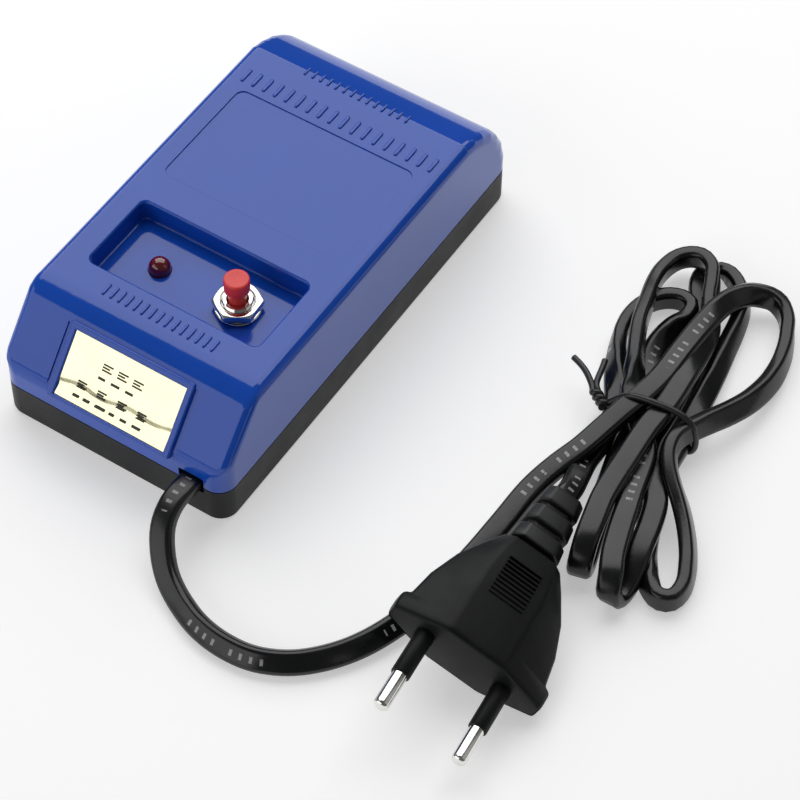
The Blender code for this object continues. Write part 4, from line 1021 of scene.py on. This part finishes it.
class DEMAG_OT_lead(bpy.types.Operator):
    """Builds the flat mains lead, bundled in a tied hank, as one run from the case to the plug"""
    bl_idname = "demag.lead"
    bl_label = "Lead"

    def execute(self, context):
        lead = context.scene.demag_lead
        plug = plug_matrix()
        ends = [plug @ Vector((0, y, 0)) for y in LEAD_INTO_PLUG]
        points = [Vector((x, y, z)) * MM for x, y, z, _ in LEAD_POINTS] + ends
        tilts = [t for *_, t in LEAD_POINTS] + [-math.degrees(PLUG_TURN[1])] * len(ends)
        way, total = smooth_way(points, LEAD_STEP)
        tangents, across = lead_frames(way, tilts)
        section = lead_section(lead.lead_width, lead.lead_thick, lead.lead_corner)
        bm = bmesh.new()
        uv = bm.loops.layers.uv.new("run")
        rings, centres = [], []
        for (p, _), t, s in zip(way, tangents, across):
            up = s.cross(t)
            ring = [p + s * a + up * b for a, b in section]
            lift = max(0.0, FLOOR_GAP - min(v.z for v in ring))
            centre = p + Vector((0, 0, lift))
            centres.append(centre)
            rings.append([bm.verts.new(v + Vector((0, 0, lift))) for v in ring])
        n = len(section)
        step = total / (len(rings) - 1)
        lengths = [(Vector(section[(i + 1) % n]) - Vector(section[i])).length for i in range(n)]
        round_about = [sum(lengths[:i]) / sum(lengths) for i in range(n + 1)]
        for r, (a, b) in enumerate(zip(rings, rings[1:])):
            for i in range(n):
                j = (i + 1) % n
                face = bm.faces.new((a[j], a[i], b[i], b[j]))
                for loop, (u, v) in zip(face.loops, ((r, i + 1), (r, i), (r + 1, i), (r + 1, i + 1))):
                    loop[uv].uv = (u * step, round_about[v])
        bm.faces.new(rings[0])
        bm.faces.new(list(reversed(rings[-1])))
        bmesh.ops.recalc_face_normals(bm, faces=bm.faces)
        made = thing_from(bm, "mains_lead")
        settle(made, "lead_pvc", nodes=("cord_lead", "cord_hank", "cord_tail"), sharp=60.0,
               material=printed_pvc("glossy_sheath", lead.pvc, lead.ink))
        return {"FINISHED"}


def wire_curve(name, runs, radius):
    """A coated wire through each run of points; a closed run is a ring."""
    curve = bpy.data.curves.new(name, "CURVE")
    curve.dimensions = "3D"
    curve.bevel_depth = radius
    curve.bevel_resolution = 4
    curve.resolution_u = 8
    curve.use_fill_caps = True
    for points, closed in runs:
        spline = curve.splines.new("NURBS")
        spline.points.add(len(points) - 1)
        for p, co in zip(spline.points, points):
            p.co = (co[0] * MM, co[1] * MM, co[2] * MM, 1.0)
        spline.order_u = 4
        spline.use_cyclic_u = closed
        spline.use_endpoint_u = not closed
    made = bpy.data.objects.new(name, curve)
    bpy.context.scene.collection.objects.link(made)
    return applied(made)


class DEMAG_OT_tie(bpy.types.Operator):
    """Builds the coated wire tie round the hank, with its twist and two free ends"""
    bl_idname = "demag.tie"
    bl_label = "Tie"

    def execute(self, context):
        lead = context.scene.demag_lead
        axis = (TWIST_STOP - TWIST_START).normalized()
        side = axis.cross(Vector((0, 0, 1))).normalized()
        rise = side.cross(axis)
        runs = [(TIE_RING, True)]
        for phase, end in zip((0.0, math.pi), TIE_ENDS):
            turns = []
            for k in range(TWIST_STEPS + 1):
                t = k / TWIST_STEPS
                angle = phase + t * math.tau * TWIST_TURNS
                out = (side * math.cos(angle) + rise * math.sin(angle)) * TWIST_RADIUS
                turns.append(tuple(TWIST_START.lerp(TWIST_STOP, t) + out))
            runs.append((turns + list(end), False))
        made = wire_curve("lead_tie", runs, lead.wire)
        settle(made, "tie_black", nodes=("cord_tie",), sharp=60.0)
        return {"FINISHED"}


def loft(name, sections, rounding):
    """An eight-cornered loft along the plug, from sections of (y, width, flat, thickness, edge thickness)."""
    bm = bmesh.new()
    rings = []
    for y, width, flat, thick, edge in sections:
        corners = ((width, edge), (flat, thick), (-flat, thick), (-width, edge),
                   (-width, -edge), (-flat, -thick), (flat, -thick), (width, -edge))
        rings.append([bm.verts.new((x / 2, y, z / 2)) for x, z in corners])
    join_rings(bm, rings)
    made = thing_from(bm, name)
    bevelled(made, rounding, 3, angle=12.0)
    return applied(made)


# The plug along its own length, y, from its face at 0 to the lead: see loft for what each figure is.
PLUG_SECTIONS = (
    (0.0, 0.0346, 0.0124, 0.0130, 0.0040), (0.0008, 0.0352, 0.0130, 0.0137, 0.0044),
    (0.0042, 0.0352, 0.0130, 0.0137, 0.0044), (0.0047, 0.0322, 0.0130, 0.0137, 0.0056),
    (0.0110, 0.0300, 0.0130, 0.0137, 0.0060), (0.0180, 0.0252, 0.0130, 0.0134, 0.0064),
    (0.0240, 0.0186, 0.0116, 0.0122, 0.0068), (0.0280, 0.0136, 0.0096, 0.0106, 0.0068),
)
RELIEF_START, RELIEF_END = 0.0283, 0.0450
RELIEF_WIDTHS, RELIEF_THICKS = (0.0118, 0.0084), (0.0096, 0.0070)
NECK = 0.72
RELIEF_JOINTS = ((0.0276, 0.0293, NECK), (0.0293, 0.0334, 1.0), (0.0334, 0.0350, NECK), (0.0350, 0.0392, 1.0),
                 (0.0392, 0.0406, NECK), (0.0406, RELIEF_END, 1.0))
RIB_START, RIB_PITCH, RIB_SIDE, RIB_TOP_SIDE, RIB_RISE = 0.0128, 0.00105, 0.00028, 0.00014, 0.00028
PIN_RADIUS, PIN_TIP, PIN_ROOT, PIN_OFFSET = 0.0016, 0.0190, -0.0060, 0.00915
SLEEVE_BORE, SLEEVE_RADIUS, SLEEVE_TOP, SLEEVE_FOOT = 0.00161, 0.0020, 0.01056, 0.0003


class DEMAG_OT_plug(bpy.types.Operator):
    """Builds the flat two-pin plug with its grip ribs, jointed strain relief, sleeves and pins"""
    bl_idname = "demag.plug"
    bl_label = "Plug"

    def execute(self, context):
        lead = context.scene.demag_lead
        place = plug_matrix()
        body = loft("plug_body_skin", PLUG_SECTIONS, 0.0007)
        body.data.transform(place)
        settle(body, "plug_black", nodes=("plug_body",), sharp=28.0)

        bm = bmesh.new()
        for k in range(lead.ribs):
            y = RIB_START + RIB_PITCH * k
            half = 0.0042 - 0.00003 * k
            z = 0.00685 - max(0.0, y - 0.0180) * 0.055
            join_rings(bm, [[bm.verts.new((sx * reach, y + sy * side, level))
                             for sx, sy in ((-1, -1), (1, -1), (1, 1), (-1, 1))]
                            for reach, side, level in ((half, RIB_SIDE, z - 0.0003),
                                                       (half - 0.0002, RIB_TOP_SIDE, z + RIB_RISE))])
        ribs = thing_from(bm, "plug_ribs")
        ribs.data.transform(place)
        settle(ribs, "plug_black", sharp=40.0)

        sections = []
        for low, high, grow in RELIEF_JOINTS:
            for y in (low + 0.00008, high - 0.00008):
                share = (y - RELIEF_START) / (RELIEF_END - RELIEF_START)
                wide, thick = ((a + (b - a) * share) * grow for a, b in (RELIEF_WIDTHS, RELIEF_THICKS))
                sections.append((y, wide, wide * 0.66, thick, thick * 0.58))
        relief = loft("plug_relief_skin", sections, 0.00045)
        relief.data.transform(place)
        settle(relief, "lead_pvc", nodes=("plug_strain_relief",), sharp=35.0)

        forwards = Matrix.Rotation(math.pi / 2, 4, "X")
        for side, word in ((-1, "left"), (1, "right")):
            stand = place @ Matrix.Translation((side * PIN_OFFSET, 0, 0)) @ forwards
            r, nose = PIN_RADIUS, 0.0009
            pin = [(0.0, PIN_TIP), *arc((r - nose, PIN_TIP - nose), nose, 80, 0, 6), (r, 0.0108),
                   (r, PIN_ROOT), (0.0, PIN_ROOT)]
            made = turned(f"plug_pin_{word}_skin", pin, 40, stand)
            settle(made, "nickel", nodes=(f"plug_pin_{word}",), sharp=50.0)
            r, bore = SLEEVE_RADIUS, SLEEVE_BORE
            sleeve = [(bore, 0.0105), (0.00165, SLEEVE_TOP), (r - 0.0001, SLEEVE_TOP), (r, 0.0104),
                      (r, 0.0022), (r + 0.00012, 0.0010), (r + 0.00012, SLEEVE_FOOT), (bore, SLEEVE_FOOT),
                      (bore, 0.0105)]
            made = turned(f"plug_sleeve_{word}_skin", sleeve, 40, stand)
            settle(made, "plug_black", nodes=(f"plug_sleeve_{word}",), sharp=50.0)
        return {"FINISHED"}


# ---- inner pieces and stage --------------------------------------------------------------------------------

class DEMAG_OT_inner_finishes(bpy.types.Operator):
    """Gives the pieces inside the case their finishes"""
    bl_idname = "demag.inner_finishes"
    bl_label = "Inner pieces"

    def execute(self, context):
        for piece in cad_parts.values():
            if piece.hide_render:
                continue
            for place in piece.material_slots:
                place.material = finish_for(place.material.name.split(".")[0])
        return {"FINISHED"}


CAMERA_AT = (0.2376, -0.3191, 0.4803)
CAMERA_TURN = (math.radians(32.37), math.radians(90 - 52.53), math.radians(0.71))
CAMERA_LENS = 128.0


def aimed(at, target):
    """Place of a light that looks from one point to another."""
    back = (Vector(at) - Vector(target)).normalized()
    return Matrix.Translation(at) @ back.to_track_quat("Z", "Y").to_matrix().to_4x4()


class DEMAG_OT_stage(bpy.types.Operator):
    """Builds the floor, the soft lights, the surround and the camera"""
    bl_idname = "demag.stage"
    bl_label = "Stage"

    def execute(self, context):
        stage = context.scene.demag_stage
        scene = context.scene
        bm = bmesh.new()
        bmesh.ops.create_grid(bm, x_segments=2, y_segments=2, size=3.0)
        floor = thing_from(bm, "floor")
        pale = finish("pale_floor", stage.floor, 0.85, mottle=0.005, mottle_scale=6, grain_scale=40,
                      grain_depth=0.0)
        shader = next(n for n in pale.node_tree.nodes if n.type == "BSDF_PRINCIPLED")
        shader.inputs["Emission Color"].default_value = (1, 1, 1, 1)
        shader.inputs["Emission Strength"].default_value = stage.glow
        floor.data.materials.append(pale)
        middle = Vector((0.04, 0.0, 0.0))
        side_share = 0.13
        for name, way, distance, size, power in (
            ("key_light", (-0.325, 0.514, 0.794), 1.0, (1.4, 1.0), stage.key),
            ("fill_light", (-0.40, -0.84, 0.40), 1.0, (1.2, 0.7), stage.fill),
            ("side_light", (0.90, 0.25, 0.50), 1.1, (0.6, 0.9), stage.fill * side_share),
        ):
            data = bpy.data.lights.new(name, "AREA")
            data.shape = "RECTANGLE"
            data.size, data.size_y = size
            data.energy = power
            light = bpy.data.objects.new(name, data)
            light.matrix_world = aimed(middle + Vector(way).normalized() * distance, middle)
            scene.collection.objects.link(light)
        world = bpy.data.worlds.new("surround")
        world.use_nodes = True
        back = world.node_tree.nodes["Background"]
        back.inputs["Color"].default_value = (1, 1, 1, 1)
        back.inputs["Strength"].default_value = stage.sky
        scene.world = world
        scene.view_settings.view_transform = "Standard"
        data = bpy.data.cameras.new("camera")
        data.lens = CAMERA_LENS
        data.sensor_width = 36.0
        data.clip_start, data.clip_end = 0.01, 20.0
        camera = bpy.data.objects.new("camera", data)
        turn, pitch, roll = CAMERA_TURN
        camera.matrix_world = (Matrix.Translation(CAMERA_AT) @ Matrix.Rotation(turn, 4, "Z")
                               @ Matrix.Rotation(pitch, 4, "X") @ Matrix.Rotation(roll, 4, "Z"))
        scene.collection.objects.link(camera)
        scene.camera = camera
        return {"FINISHED"}


STEPS = (DEMAG_OT_stage, DEMAG_OT_plug, DEMAG_OT_tie, DEMAG_OT_lead, DEMAG_OT_top_shell, DEMAG_OT_base_shell,
         DEMAG_OT_case_screws, DEMAG_OT_label, DEMAG_OT_lamp, DEMAG_OT_button, DEMAG_OT_inner_finishes)


class DEMAG_PT_panel(bpy.types.Panel):
    """Lists the demagnetiser's pieces and settings"""
    bl_idname = "DEMAG_PT_panel"
    bl_label = "Bench demagnetiser"
    bl_space_type = "VIEW_3D"
    bl_region_type = "UI"
    bl_category = "Demagnetiser"

    def draw(self, context):
        layout = self.layout
        for step in STEPS:
            layout.operator(step.bl_idname)
        for name in SETTINGS:
            group = getattr(context.scene, name)
            box = layout.box()
            for key in group.__annotations__:
                box.prop(group, key)


SETTINGS = {"demag_case": CaseSettings, "demag_control": ControlSettings, "demag_lead": LeadSettings,
            "demag_stage": StageSettings}
CLASSES = (*SETTINGS.values(), *STEPS, DEMAG_PT_panel)


def register():
    for cls in CLASSES:
        bpy.utils.register_class(cls)
    for name, group in SETTINGS.items():
        setattr(bpy.types.Scene, name, PointerProperty(type=group))


def unregister():
    for name in SETTINGS:
        delattr(bpy.types.Scene, name)
    for cls in reversed(CLASSES):
        bpy.utils.unregister_class(cls)


def main():
    register()
    for step in STEPS:
        family, name = step.bl_idname.split(".")
        getattr(getattr(bpy.ops, family), name)()


if __name__ == "__main__":
    main()
